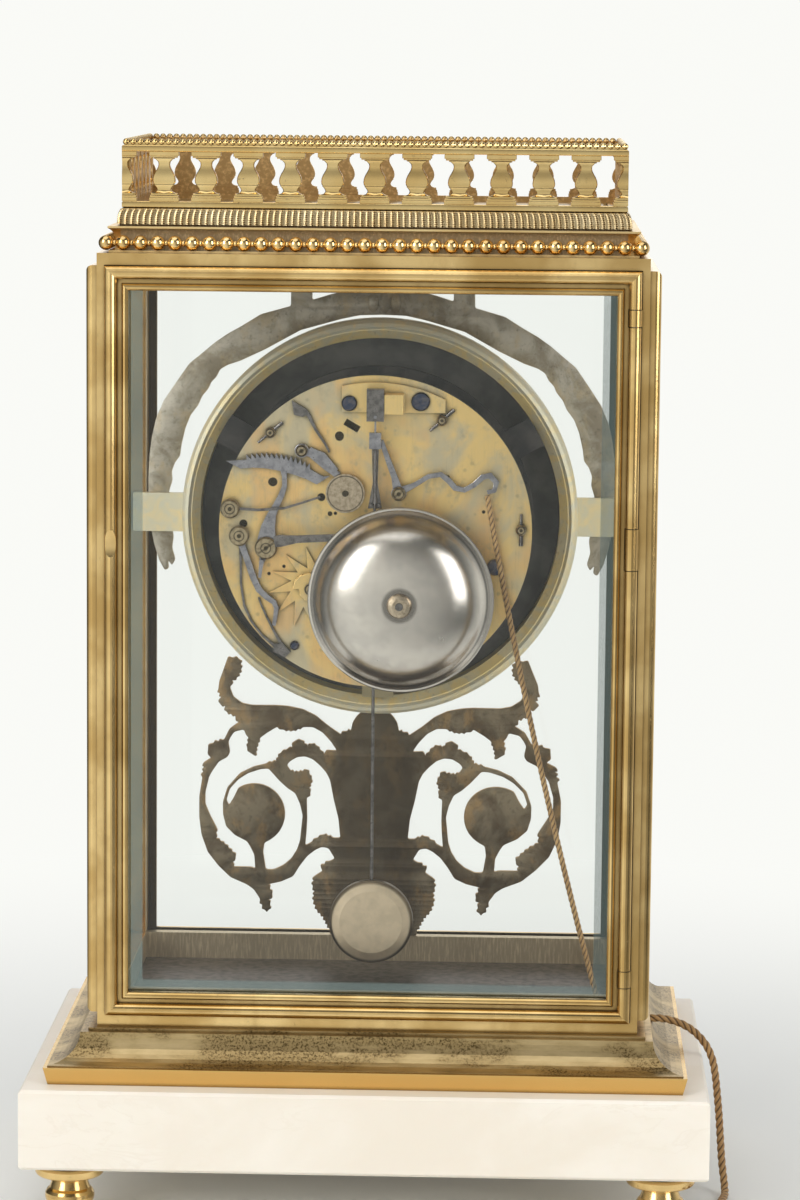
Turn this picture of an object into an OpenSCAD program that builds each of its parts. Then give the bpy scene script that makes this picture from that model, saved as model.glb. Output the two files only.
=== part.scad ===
// Glazed table clock on a marble slab, with its movement, bell and pendulum open to view.
// Millimetres. The origin is the bottom centre of the feet, +Z is up, the dial faces -Y
// and the rear door faces +Y.

/* [Base] */
// Height of the turned feet
feet_h = 22; // [18:0.5:28]
// Radius of the foot's top disc
foot_r = 12.8; // [10:0.1:15]
// Distance of a foot's centre from the edges of the slab
foot_inset = 17; // [16:0.5:24]
// Thickness of the marble slab
slab_t = 30; // [24:0.5:36]
// How far the slab stands out past the case, all round
slab_out = 26.3; // [23:0.1:30]
// Width of the rounded-off edge of the slab
slab_edge = 1.1; // [0.5:0.1:2]
// Height of the plinth's slanting fascia
fascia_h = 6.6; // [5:0.1:9]
// Height of the plinth's hollow moulding above its fascia
cavetto_h = 10.7; // [9:0.1:14]
// How far the plinth's fascia stands out past the case
plinth_out = 18.2; // [15:0.1:21]
// Height of the recessed fillet that the case stands on
neck_h = 1; // [0.6:0.1:2]

/* [Case] */
// Width of the glazed case
case_w = 200; // [190:1:215]
// Depth of the glazed case, front to back
case_d = 109.6; // [106:0.2:120]
// Height of the glazed case
case_h = 286; // [270:1:310]
// Width of the posts that stay in view beside a door
border_side = 3; // [2.6:0.1:4]
// Width of the rails that stay in view above and below a door
border_end = 4.6; // [4:0.1:6]
// Thickness of the corner posts behind the doors
post_w = 8.5; // [8:0.1:10]
// Thickness of the rails, inside to outside
rail_t = 8.5; // [8:0.1:10]
// Thickness of the floor plate
floor_t = 3; // [2:0.1:5]
// Thickness of the top plate
roof_t = 2.5; // [2:0.1:4]

/* [Doors] */
// Radius of the big half-round of the frame moulding
torus_r = 2.3; // [2:0.05:2.6]
// Width of the groove inside the half-round
groove_w = 1.6; // [1.2:0.1:2.2]
// Radius of the small half-round beside the glass
bead_r = 1.3; // [1:0.05:1.6]
// Gap between a closed door and its frame
door_gap = 0.3; // [0.25:0.05:0.5]
// Thickness of the glass in the middle
glass_t = 3; // [2.6:0.1:3.4]
// Thickness of the glass at its edge
glass_edge_t = 2; // [1.6:0.1:2.4]
// Width of the bevel that shows
bevel_w = 12; // [8:0.5:16]
// Length of the middle hinge knuckle and of the finger catch
knuckle_l = 15; // [12:0.5:18]
// Length of the top and bottom hinge knuckles
end_knuckle_l = 6; // [5:0.5:8]
// Radius of the hinge pins
hinge_pin_r = 0.9; // [0.7:0.05:1.1]

/* [Cornice] */
// Height of the cornice up to the reeded moulding
cornice_h = 9.5; // [9:0.1:11]
// Radius of one bead of the cornice
big_bead_r = 2.7; // [2.4:0.05:2.8]
// Number of beads along the back, corners included
bead_count = 32; // [30:1:33]
// Height of the reeded moulding
reeded_h = 6.7; // [5.5:0.1:8]
// Height of a gallery rail
rail_h = 2.2; // [1.8:0.1:3]
// Height of the gallery's balusters
baluster_h = 18; // [16:0.5:20]
// Radius of the small beads along the top of the gallery
gallery_bead_r = 1.3; // [1:0.05:1.5]
// Number of spaces between balusters along the back
baluster_bays = 12; // [10:1:13]
// Thickness of the gallery's cast panels
gallery_t = 3; // [2.4:0.1:3.6]

/* [Movement] */
// Depth of the middle of the dial below the top of the case
dial_drop = 105.3; // [100:0.1:112]
// Room between the drum ring and the corner posts
ring_space = 15; // [13:0.5:18]
// Width of the drum ring, from its bore to its rim
ring_wall = 7.1; // [6:0.1:8]
// Length of the drum ring, front to back
ring_l = 16; // [14:0.5:18]
// How far the bezel covers the edge of the dial
bezel_lip = 4.4; // [3:0.1:7]
// Radius of the round back plate
plate_r = 58.7; // [58:0.1:62]
// Thickness of the two plates
plate_t = 3; // [2.5:0.1:3.5]
// Room between the back plate and the rear rails
rear_room = 34.3; // [33:0.1:38]
// Radius of the barrels
barrel_r = 18; // [16:0.1:18.5]

/* [Bell] */
// Radius of the bell's rim
bell_r = 34; // [32:0.1:35]
// Depth of the bell, rim to crown
bell_h = 17; // [16:0.1:18]
// Thickness of the bell's wall
bell_t = 1.4; // [1.2:0.1:2]

/* [Pendulum] */
// Height of the middle of the bob above the bottom of the case
bob_rise = 33.7; // [32:0.1:60]
// Radius of the bob
bob_r = 15.8; // [14:0.1:17]
// Thickness of the bob
bob_t = 7; // [5:0.5:8]
// Radius of the pendulum rod
rod_r = 0.6; // [0.5:0.05:0.8]

/* [Strike work] */
// Number of teeth on the rack
rack_teeth = 14; // [12:1:15]
// Radius of the rack at the tips of its teeth
rack_r = 35.8; // [34.5:0.1:36]
// Number of points on the star wheel
star_points = 12; // [12:1:12]
// Radius of the star wheel at its points
star_r = 15.8; // [14:0.1:16]
// Radius of the brass disc on the gathering arbor
gather_r = 7.3; // [6:0.1:7.6]

/* [Cord] */
// Diameter of the twisted silk cord
cord_d = 3; // [2.6:0.1:3.2]
// How far the cord's run inside the case bows towards the middle
cord_bow = 2.4; // [1.5:0.1:3]

/* [Hidden] */

$fn = 64;
eps = 0.01;
// Radial clearance of a pin or arbor that turns in its hole
run_gap = 0.05;
// Clearance between parts that pass each other
air = 0.3;

gilt = [0.83, 0.64, 0.30];
dull_gilt = [0.72, 0.60, 0.36];
brass = [0.78, 0.66, 0.38];
bronze = [0.45, 0.38, 0.30];
steel = [0.52, 0.52, 0.58];
blued = [0.20, 0.22, 0.32];
silver = [0.72, 0.70, 0.68];
marble_c = [0.95, 0.93, 0.88];
glass_c = [0.75, 0.85, 0.85, 0.35];
silk = [0.62, 0.45, 0.27];

// Heights of the stack, from the table up
half_w = case_w / 2;
half_d = case_d / 2;
z_slab = feet_h;
z_plinth = z_slab + slab_t;
z_fascia = z_plinth + fascia_h;
z_lip = z_fascia + cavetto_h;
z_case = z_lip + neck_h;
z_top = z_case + case_h;
z_reed = z_top + cornice_h;
z_gallery = z_reed + reeded_h;
z_baluster = z_gallery + rail_h;
plinth_plate_t = 1.7;
plinth_wall = 4;

// The doors and the side frames share one moulding
moulding_w = 2 * torus_r + groove_w + 2 * bead_r;
torus_z = 2;
moulding_h = torus_z + torus_r;
lip_z = -0.8;
door_back = -3.9;
door_w = case_w - 2 * border_side;
door_h = case_h - 2 * border_end;
door_z = z_case + border_end;
stop_y = half_d + door_back - door_gap;
rebate_u = moulding_w - 3;
seat_w = door_w - 2 * rebate_u;
seat_h = door_h - 2 * rebate_u;
hinge_x = door_w / 2 - torus_r;
hinge_y = half_d + torus_z;
inside_w = case_w - 2 * post_w;
inside_d = case_d - 2 * rail_t;
rail_top = z_case + border_end + moulding_w - 0.3;
rail_under = z_top - border_end - moulding_w + 0.3;
side_w = case_d - 2 * border_side;
side_seat_w = side_w - 2 * rebate_u + 1;

// Places in the movement, seen from behind: the middle of the dial is [0, dial_z]
dial_z = z_top - dial_drop;
ring_r = inside_w / 2 - ring_space;
ring_bore_r = ring_r - ring_wall;
bezel_bore_r = ring_bore_r - bezel_lip;
ring_front = -inside_d / 2 - 0.7;
ring_back = ring_front + ring_l;
front_out = ring_back;
front_in = front_out + plate_t;
plate_y = inside_d / 2 - rear_room;
plate_in = plate_y - plate_t;
dial_back = ring_front + 2.4;
dial_t = 1.8;
dial_front = dial_back - dial_t;
ornament_t = 2.9;
ornament_back = -inside_d / 2 - 0.6;
scroll_mid = 1.7;
// The scrollwork was drawn for a drum of 76.5 and for 91.1 from the drum to the bottom rail
scroll_top = 76.5;
scroll_kx = inside_w / 183;
scroll_kz = (dial_z - ring_r - rail_top) / 91.1;
lug_y = -inside_d / 2;
layer1 = plate_y + 0.6;
layer1_t = 1.6;
star_y = plate_y + 0.3;
star_t = 1;
jumper_y = plate_y + 1.6;
layer2 = plate_y + 2.6;
layer2_t = 1.6;
crutch_y = plate_y + 4.6;
crutch_t = 1;
rod_y = plate_y + 7.6;
hammer_y = plate_y + 9.6;
bell_y = plate_y + 13;
bell_x = -10.2;
bell_z = dial_z - 23.8;
cock_z = dial_z + 49;
flex_z = dial_z + 44;
flex_pin_r = 0.6;
bob_z = z_case + bob_rise;
rack_at = [40.8, dial_z - 6.3];
hook_at = [27.7, dial_z + 30.4];
lever_at = [-8.8, dial_z + 14.9];
gather_at = [11.2, dial_z + 14.7];
star_at = [24, dial_z - 21.5];
jumper_at = [50.8, dial_z - 1.7];
spring_at = [54.4, dial_z + 8.3];
foot_spring_at = [28.1, dial_z + 45.4];
low_spring_at = [36, dial_z - 44.4];
hammer_at = [34.8, dial_z - 2.6];
hammer_head = [3.1, dial_z - 0.5];
hammer_head_r = 2.6;
crutch_at = [0, dial_z + 33];
going_at = [19.5, dial_z - 15];
strike_at = [-19.5, dial_z - 15];
lever_end = [-42.7, dial_z + 20.8];
pillar_at = [[39.5, dial_z + 37], [-24.6, dial_z + 42.3], [-54.6, dial_z + 1.5],
  [8, dial_z - 47.6], [-32, dial_z - 45.6]];
pillar_turn = [-40, -42, 90, 20, 110];
pillar_r = 3;
pillar_shank_r = 2;
pivot_r = 1;
hole1_at = [13.7, dial_z + 35.9];
hole2_at = [38.5, dial_z + 18.3];
hole3_at = [17, dial_z + 6.6];

// The cord: through the case to the exit in the plinth, over the slab and onto the table
cord_r = cord_d / 2;
cord_top = [-41.8, plate_y + 4, dial_z + 14.7];
cord_low = [4.5 - inside_w / 2, plate_y + 1, z_case - 0.6];
cord_exit_y = plate_y;
cord_exit_z = z_lip - 3;
// Points of the free cord outside, chosen by hand
cord_route = [[-104, 12, 66], [-109, 12, 66.3], [-114, 12, 65.6], [-119, 12, 63.8], [-123.5, 12, 60.8],
  [-127.5, 13, 56.4], [-130, 14, 51], [-131.2, 15, 45], [-132, 16, 38], [-132.8, 16.5, 30],
  [-133.4, 17, 22], [-134, 17.4, 14], [-134.5, 18, 9.4], [-135, 19.2, 5.8], [-135.3, 21.4, 3],
  [-135.2, 24.8, 1.7], [-134.6, 28.4, 1.5], [-133.6, 33, 1.5], [-132.6, 38, 1.5], [-131.9, 44, 1.5],
  [-131.6, 50, 1.5], [-131.4, 56, 1.5]];
coil_loops = 2;
coil_in = 14;
coil_step = 3.6;
coil_start_a = -3;
coil_rings = 24;
coil_sides = 6;
tube_sides = 8;
knot_r = 3.1;
knot_in = 3;

function lerp(a, b, t) = a + (b - a) * t;
function arc(c, r, a0, a1, n) =
  [for (i = [0:n]) let (a = lerp(a0, a1, i / n)) [c[0] + r * cos(a), c[1] + r * sin(a)]];
function unit(v) = v / norm(v);
function last(v) = v[len(v) - 1];

// Cylinder along Y between y0 and y1 at [x, z]
module y_rod(at, y0, y1, r) {
  translate([at[0], y0, at[1]]) rotate([-90, 0, 0]) cylinder(h = y1 - y0, r = r);
}

// Outlines in X and Z about [x, z], standing between y0 and y1
module y_plate(y0, y1, at = [0, 0]) {
  for (i = [0:$children - 1]) translate([at[0], y1, at[1]]) rotate([90, 0, 0])
    linear_extrude(y1 - y0) children(i);
}

// Turned form about an axis along Y: points are [radius, y]
module y_turn(at, pts) {
  translate([at[0], 0, at[1]]) rotate([-90, 0, 0]) rotate_extrude() polygon(pts);
}

// Block whose level sections are rectangles: points are [half width, z]
module stepped_block(pts) {
  n = len(pts);
  cut = half_w - half_d;
  intersection() {
    translate([0, case_w, 0]) rotate([90, 0, 0]) linear_extrude(2 * case_w)
      polygon(concat(pts, [for (i = [n - 1:-1:0]) [-pts[i][0], pts[i][1]]]));
    translate([-case_w, 0, 0]) rotate([90, 0, 90]) linear_extrude(2 * case_w)
      polygon(concat([for (p = pts) [p[0] - cut, p[1]]],
        [for (i = [n - 1:-1:0]) [cut - pts[i][0], pts[i][1]]]));
  }
}

module box_between(a, b) {
  translate(a) cube(b - a);
}

// Base: feet, slab and plinth

module foot() {
  disc_t = 4;
  recess = 1.5;
  neck = foot_r * 0.5;
  belly = foot_r * 0.72;
  toe = foot_r * 0.45;
  zd = feet_h - recess - disc_t;
  rotate_extrude() polygon(concat(
    [[0, 0], [toe - 0.6, 0], [toe, 0.6]],
    [for (i = [0:6]) let (a = -60 + 20 * i) [belly - 3.4 + 3.4 * cos(a), zd * 0.52 + 3.6 * sin(a)]],
    [[neck, zd - 1.6], [neck + 0.4, zd - 0.5], [foot_r - 1.6, zd]],
    arc([foot_r - 1.6, zd + 1.6], 1.6, -90, 0, 4),
    [[foot_r, zd + disc_t - 1], [foot_r - 1, zd + disc_t], [foot_r - 3, zd + disc_t],
     [foot_r - 3, feet_h], [0, feet_h]]));
}

module feet() {
  fx = half_w + slab_out - foot_inset;
  fy = half_d + slab_out - foot_inset;
  color(gilt) for (sx = [-1, 1], sy = [-1, 1]) translate([sx * fx, sy * fy, 0]) foot();
}

module marble_base() {
  w = half_w + slab_out;
  color(marble_c) stepped_block([[w - slab_edge, z_slab], [w, z_slab + slab_edge],
    [w, z_plinth - slab_edge], [w - slab_edge, z_plinth]]);
}

module plinth() {
  w = half_w + plinth_out;
  lip = half_w + 5.7;
  ledge = w - 1.5;
  neck = half_w + 3;
  base_z = z_fascia + 0.4;
  color(dull_gilt) difference() {
    stepped_block(concat([[w - 1.6, z_plinth], [w, z_fascia], [ledge, z_fascia]],
      [for (i = [0:8]) let (a = 90 - 90 * i / 8)
        [ledge - (ledge - lip) * cos(a), z_lip - (z_lip - base_z) * sin(a)]],
      [[neck, z_lip], [neck, z_case]]));
    box_between([-half_w - 5.7 + plinth_wall, -half_d - 5.7 + plinth_wall, z_plinth - eps],
      [half_w + 5.7 - plinth_wall, half_d + 5.7 - plinth_wall, z_case - plinth_plate_t]);
    cord_floor_hole();
    translate([-half_w - 20, cord_exit_y, cord_exit_z]) rotate([0, 90, 0])
      cylinder(h = 24, r = cord_r + 0.7);
  }
}

// Hole that the cord drops through on its way into the plinth
module cord_floor_hole() {
  translate([cord_low[0], cord_low[1], z_case - plinth_plate_t - eps])
    cylinder(h = floor_t + plinth_plate_t + 2 * eps, r = cord_r + 1.5);
}

// Case: floor, cage, side frames and glasses

module case_floor() {
  color(dull_gilt) difference() {
    box_between([-inside_w / 2, -inside_d / 2, z_case], [inside_w / 2, inside_d / 2, z_case + floor_t]);
    cord_floor_hole();
  }
}

module case_frame() {
  lip_w = side_seat_w / 2;
  color(gilt) difference() {
    box_between([-half_w, -half_d, z_case], [half_w, half_d, z_top]);
    box_between([-inside_w / 2, -inside_d / 2, z_case - 1], [inside_w / 2, inside_d / 2, z_top + 1]);
    box_between([-inside_w / 2, -half_d - 1, rail_top], [inside_w / 2, half_d + 1, rail_under]);
    box_between([-half_w - 1, -inside_d / 2, rail_top], [half_w + 1, inside_d / 2, rail_under]);
    for (s = [0, 180]) rotate([0, 0, s]) {
      box_between([-door_w / 2 - door_gap, stop_y, door_z - door_gap],
        [door_w / 2 + door_gap, half_d + 1, door_z + door_h + door_gap]);
      box_between([half_w - glass_edge_t, -lip_w, door_z + rebate_u - 0.2],
        [half_w + 1, lip_w, door_z + door_h - rebate_u + 0.2]);
    }
  }
}

// Section of the moulding: u runs from the outer edge inwards, w stands out from the case.
// back is the depth of the bar behind the face, and lip the depth of the ledge on the glass.
function moulding(back, lip) = concat(
  back < 0 ? [[1.2, back], [0, back + 1.2]] : [[0, 0]],
  arc([torus_r, torus_z], torus_r, 180, 0, 10),
  [[2 * torus_r, 1], [2 * torus_r + groove_w, 1]],
  arc([moulding_w - bead_r, 1.3], bead_r, 180, 0, 6),
  [[moulding_w, lip]],
  back < 0 ? [[rebate_u, lip], [rebate_u, back]] : []);

// One mitred bar along X, its outer edge at z = 0 and its face towards +Y
module moulded_bar(l, back, lip) {
  intersection() {
    translate([-l / 2, 0, 0]) rotate([90, 0, 90]) linear_extrude(l)
      polygon([for (p = moulding(back, lip)) [p[1], p[0]]]);
    translate([0, 10, 0]) rotate([90, 0, 0]) linear_extrude(20)
      polygon([[-l / 2, 0], [l / 2, 0], [l / 2 - moulding_w, moulding_w],
        [-l / 2 + moulding_w, moulding_w]]);
  }
}

// Frame of four bars, centred on [0, 0] in X and Z, its face towards +Y
module moulded_frame(w, h, back, lip) {
  translate([0, 0, -h / 2]) moulded_bar(w, back, lip);
  translate([0, 0, h / 2]) mirror([0, 0, 1]) moulded_bar(w, back, lip);
  for (s = [-1, 1]) translate([s * w / 2, 0, 0]) mirror([s > 0 ? 1 : 0, 0, 0])
    rotate([0, 90, 0]) moulded_bar(h, back, lip);
}

// Plate of glass bevelled on its outer face, back face at y = 0
module bevelled_glass(w, h, margin) {
  step = glass_t - glass_edge_t;
  function edge(a) = [[a, 0], [a, glass_edge_t], [a - margin, glass_edge_t],
    [a - margin - bevel_w, glass_edge_t + step]];
  function both(e) = concat(e, [for (i = [3:-1:0]) [-e[i][0], e[i][1]]]);
  intersection() {
    translate([0, 0, -h / 2]) linear_extrude(h) polygon(both(edge(w / 2)));
    translate([-w / 2, 0, 0]) rotate([90, 0, 90]) linear_extrude(w)
      polygon([for (p = both(edge(h / 2))) [p[1], p[0]]]);
  }
}

module side_frames() {
  color(gilt) for (s = [0, 180]) rotate([0, 0, s]) translate([half_w, 0, door_z + door_h / 2])
    rotate([0, 0, -90]) moulded_frame(side_w, door_h, 0, 0);
}

module side_glasses() {
  color(glass_c) for (s = [0, 180]) rotate([0, 0, s])
    translate([half_w - glass_edge_t, 0, door_z + door_h / 2]) rotate([0, 0, -90])
      bevelled_glass(side_seat_w - 0.4, seat_h, 3.4);
}

// Doors. Both are made at the back; the front one is the same door turned about Z.
// The hinge is on the -X stile, hidden in the big half-round of the moulding.

function knuckle_zs() = [[door_z + moulding_w + 8, end_knuckle_l], [dial_z, knuckle_l],
  [door_z + door_h - moulding_w - 8, end_knuckle_l]];

module knuckle_outline(grow) {
  reach = 2 * torus_r + grow;
  intersection() {
    polygon(concat([[-1, door_back - 3], [-1, torus_z]], arc([torus_r, torus_z], torus_r, 180, 0, 10),
      [[2 * torus_r, 1], [reach, 1], [reach, door_back - 3]]));
    translate([-door_gap - grow, door_back - door_gap - grow])
      square([reach + door_gap + grow, moulding_h - door_back + door_gap + 2 * grow]);
  }
}

module door_knuckles() {
  color(gilt) for (k = knuckle_zs()) difference() {
    translate([-door_w / 2, half_d, k[0] - k[1] / 2]) linear_extrude(k[1]) knuckle_outline(0);
    translate([-hinge_x, hinge_y, k[0] - k[1]]) cylinder(h = 2 * k[1], r = hinge_pin_r + run_gap);
  }
}

module door_frame() {
  color(gilt) difference() {
    translate([0, half_d, door_z + door_h / 2]) moulded_frame(door_w, door_h, door_back, lip_z);
    for (k = knuckle_zs()) {
      translate([-door_w / 2 - 1, half_d + door_back - 1, k[0] - k[1] / 2 - air])
        cube([1 + 2 * torus_r + air, moulding_h - door_back + 2, k[1] + 2 * air]);
      translate([-hinge_x, hinge_y, k[0] - k[1] / 2 - 5]) cylinder(h = k[1] + 10, r = hinge_pin_r);
    }
    translate([door_w / 2 - 2 * torus_r, half_d + 0.6, dial_z - knuckle_l / 2])
      cube([2 * torus_r + 1, 10, knuckle_l]);
  }
}

module door_glass() {
  color(glass_c) translate([0, half_d + lip_z - glass_edge_t, door_z + door_h / 2])
    bevelled_glass(seat_w - 0.4, seat_h - 0.4, 3);
}

module door_pins() {
  color(steel) for (k = knuckle_zs())
    translate([-hinge_x, hinge_y, k[0] - k[1] / 2 - 5]) cylinder(h = k[1] + 10, r = hinge_pin_r);
}

// Let-in piece of the closing stile, hollowed for the finger
module door_catch() {
  hollow_r = 11;
  color(gilt) difference() {
    translate([door_w / 2, half_d, dial_z - knuckle_l / 2]) mirror([1, 0, 0]) linear_extrude(knuckle_l)
      intersection() {
        polygon(moulding(door_back, lip_z));
        translate([0, 0.6]) square([2 * torus_r, moulding_h]);
      }
    translate([door_w / 2 - 1, half_d + moulding_h + hollow_r - 1.2, dial_z]) rotate([0, 90, 0])
      cylinder(h = 4 * torus_r, r = hollow_r, center = true);
  }
}

// Cornice, beads, reeds, roof and gallery

bead_line = half_w - 3.1;
cornice_wall = 8;

module cornice() {
  face = bead_line - big_bead_r - 0.1;
  crown = half_w - 3.6;
  color(dull_gilt) difference() {
    stepped_block(concat([[face + 1.9, z_top], [face + 1.9, z_top + 0.8], [face, z_top + 0.8]],
      [for (i = [0:5]) let (a = 90 * i / 5)
        [crown - (crown - face) * cos(a), z_reed - 3.4 + 2.8 * sin(a) * sin(a)]],
      [[crown, z_reed]]));
    box_between([-face + cornice_wall, cornice_wall - face + half_w - half_d, z_top - 1],
      [face - cornice_wall, face - cornice_wall - half_w + half_d, z_reed + 1]);
  }
}

// Row of turned beads along X from x = 0, made as one turned string
module bead_string(count, pitch, r, steps) {
  a0 = 24;
  rotate([0, 90, 0]) rotate_extrude() polygon(concat(
    [[0, -r * cos(a0)]],
    [for (i = [0:count - 1], j = [0:steps]) let (a = lerp(a0, 180 - a0, j / steps))
      [r * sin(a), i * pitch - r * cos(a)]],
    [[0, (count - 1) * pitch + r * cos(a0)]]));
}

module cornice_beads() {
  z = z_top + 3.6;
  dy = half_w - half_d;
  px = 2 * bead_line / (bead_count - 1);
  side = 2 * (bead_line - dy);
  n = round(side / px);
  py = side / n;
  color(gilt) for (s = [0, 180]) rotate([0, 0, s]) {
    translate([-bead_line, bead_line - dy, z]) bead_string(bead_count, px, big_bead_r, 7);
    translate([bead_line, -side / 2 + py, z]) rotate([0, 0, 90]) bead_string(n - 1, py, big_bead_r, 7);
  }
}

reed_out = half_w - 6.8;
reed_in = half_w - 16;

module reeded_moulding() {
  top = half_w - 9;
  color(dull_gilt) difference() {
    stepped_block(concat([[reed_out, z_reed], [reed_out, z_reed + 1.2]],
      [for (i = [1:5]) let (a = 90 * i / 5)
        [top + (reed_out - top) * cos(a), z_reed + 1.2 + (reeded_h - 1.2) * sin(a)]]));
    box_between([-reed_in, half_w - half_d - reed_in, z_reed - 1],
      [reed_in, reed_in - half_w + half_d, z_gallery + 1]);
  }
}

module case_roof() {
  color(dull_gilt) box_between([-reed_in, half_w - half_d - reed_in, z_gallery - roof_t],
    [reed_in, reed_in - half_w + half_d, z_gallery]);
}

gallery_out = half_w - 8.3;

// Half widths of a flat vase baluster against its height, as shares of baluster_h
function baluster_side() = [[5.5, 0], [5.4, 0.07], [5, 0.15], [3.2, 0.19], [2.4, 0.235], [3.2, 0.31],
  [3.95, 0.43], [3.5, 0.54], [2.5, 0.64], [2, 0.73], [3.6, 0.85], [4.9, 0.89], [5.4, 1]];

module baluster(x, lo, hi) {
  s = baluster_side();
  n = len(s);
  polygon(concat([for (p = s) [min(hi, x + p[0]), rail_h + baluster_h * p[1]]],
    [for (i = [n - 1:-1:0]) [max(lo, x - s[i][0]), rail_h + baluster_h * s[i][1]]]));
}

// One cast panel of the gallery along X, centred, standing from z = 0
module gallery_panel(l, bays) {
  pitch = l / bays;
  translate([0, gallery_t / 2, 0]) rotate([90, 0, 0]) linear_extrude(gallery_t) {
    translate([-l / 2, 0]) square([l, rail_h + eps]);
    translate([-l / 2, rail_h + baluster_h - eps]) square([l, rail_h]);
    for (i = [0:bays]) baluster(-l / 2 + i * pitch, -l / 2, l / 2);
  }
  translate([-l / 2, 0, 2 * rail_h + baluster_h + gallery_bead_r - 0.1]) rotate([0, 90, 0])
    cylinder(h = l, r = gallery_bead_r);
}

module gallery() {
  depth = gallery_out - half_w + half_d;
  side_l = 2 * depth - 2 * gallery_t;
  side_bays = round(side_l / (2 * gallery_out / baluster_bays));
  color(gilt) for (s = [0, 180]) rotate([0, 0, s]) {
    translate([0, depth - gallery_t / 2, z_gallery]) gallery_panel(2 * gallery_out, baluster_bays);
    translate([gallery_out - gallery_t / 2, 0, z_gallery]) rotate([0, 0, 90])
      gallery_panel(side_l, side_bays);
  }
}

// Drum, dial and front ornaments

module drum_ring() {
  color(brass) y_turn([0, dial_z], [[ring_bore_r, ring_front], [ring_r, ring_front],
    [ring_r, ring_back - 2], [ring_r - 1.2, ring_back - 0.5], [ring_r - 2.5, ring_back],
    [ring_r - 3.6, ring_back - 0.8], [ring_r - 4, ring_back - 0.8], [ring_bore_r, ring_back - 2.6]]);
}

module mounting_lugs() {
  lug_h = 15;
  lug_t = 3;
  reach = half_w - 3.5;
  color(brass) for (s = [-1, 1]) difference() {
    box_between([s > 0 ? ring_r - 4 : -reach, lug_y, dial_z - lug_h / 2],
      [s > 0 ? reach : -ring_r + 4, lug_y + lug_t, dial_z + lug_h / 2]);
    y_rod([0, dial_z], lug_y - 1, lug_y + lug_t + 1, ring_r);
  }
}

module bezel() {
  color(gilt) y_turn([0, dial_z], concat([[bezel_bore_r, ring_front], [bezel_bore_r, ring_front - 0.8]],
    [for (i = [0:6]) let (a = 180 - 30 * i)
      [bezel_bore_r + 4 + 3.4 * cos(a), ring_front - 0.8 - 1.7 * sin(a)]],
    [[ring_r - 2, ring_front - 0.8], [ring_r - 0.2, ring_front - 0.4], [ring_r - 0.2, ring_front]]));
}

module dial() {
  color("white") difference() {
    y_rod([0, dial_z], dial_front, dial_back, ring_bore_r - 0.1);
    y_rod([0, dial_z], dial_front - 1, dial_back + 1, 4);
    for (p = [going_at, strike_at]) y_rod(p, dial_front - 1, dial_back + 1, 3.2);
  }
}

// Leafy garland over the drum, hung from the top rail by a knot of ribbon.
// a is the angle above the horizontal; the outline follows two wavy arcs.
garland_low = -12;
garland_high = 84;
garland_steps = 54;
garland_leaves = 9;
function garland_t(a) = (garland_high - a) / (garland_high - garland_low);
function garland_in(a) = let (t = garland_t(a))
  min(ring_r + 1.6 + 2 * t + 5.4 * sin(180 * t) - 0.6 * abs(sin(180 * garland_leaves * t)),
    garland_out(a) - 3);
function garland_out(a) = let (t = garland_t(a))
  min(ring_r + 9.8 + 4.6 * t + 6 * sin(180 * t) + 1.1 * abs(sin(180 * garland_leaves * t)),
    (inside_w / 2 - 0.5) / cos(min(a, 60)));
function garland_arc(out) = [for (i = [0:garland_steps])
  let (a = lerp(garland_low, garland_high, i / garland_steps), r = out ? garland_out(a) : garland_in(a))
  [r * cos(a), dial_z + r * sin(a)]];

module garland_half() {
  outer = garland_arc(true);
  inner = garland_arc(false);
  n = garland_steps;
  polygon(concat([for (i = [0:n]) outer[i]], [for (i = [n:-1:0]) inner[i]]));
}

module garland() {
  top = dial_z + ring_r + 0.8;
  color(bronze) y_plate(ornament_back - ornament_t, ornament_back) {
    garland_half();
    mirror([1, 0]) garland_half();
    for (s = [-1, 1]) translate([s > 0 ? 27.5 : -35.5, dial_z + ring_r + 3.5])
      square([8, rail_under - dial_z - ring_r - 3.5]);
    polygon([[-8.5, rail_under], [-7.4, top + 9], [-10.6, top + 4], [-8.6, top], [8.6, top],
      [12, top + 4.5], [13.5, top + 9], [9, top + 12], [8.5, rail_under]]);
  }
}

// Line of varying width along points [x, z, half width]
module stroke(pts) {
  n = len(pts);
  function side(i, s) = let (a = pts[max(i - 1, 0)], b = pts[min(i + 1, n - 1)],
    d = unit([b[0] - a[0], b[1] - a[1]]))
    [pts[i][0] - s * d[1] * pts[i][2], pts[i][1] + s * d[0] * pts[i][2]];
  polygon(concat([for (i = [0:n - 1]) side(i, 1)], [for (i = [n - 1:-1:0]) side(i, -1)]));
}

function fit(p) = [p[0] * scroll_kx, (p[1] + scroll_top) * scroll_kz - ring_r];

module branch(pts) {
  stroke([for (p = pts) concat(fit(p), p[2])]);
}

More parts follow.
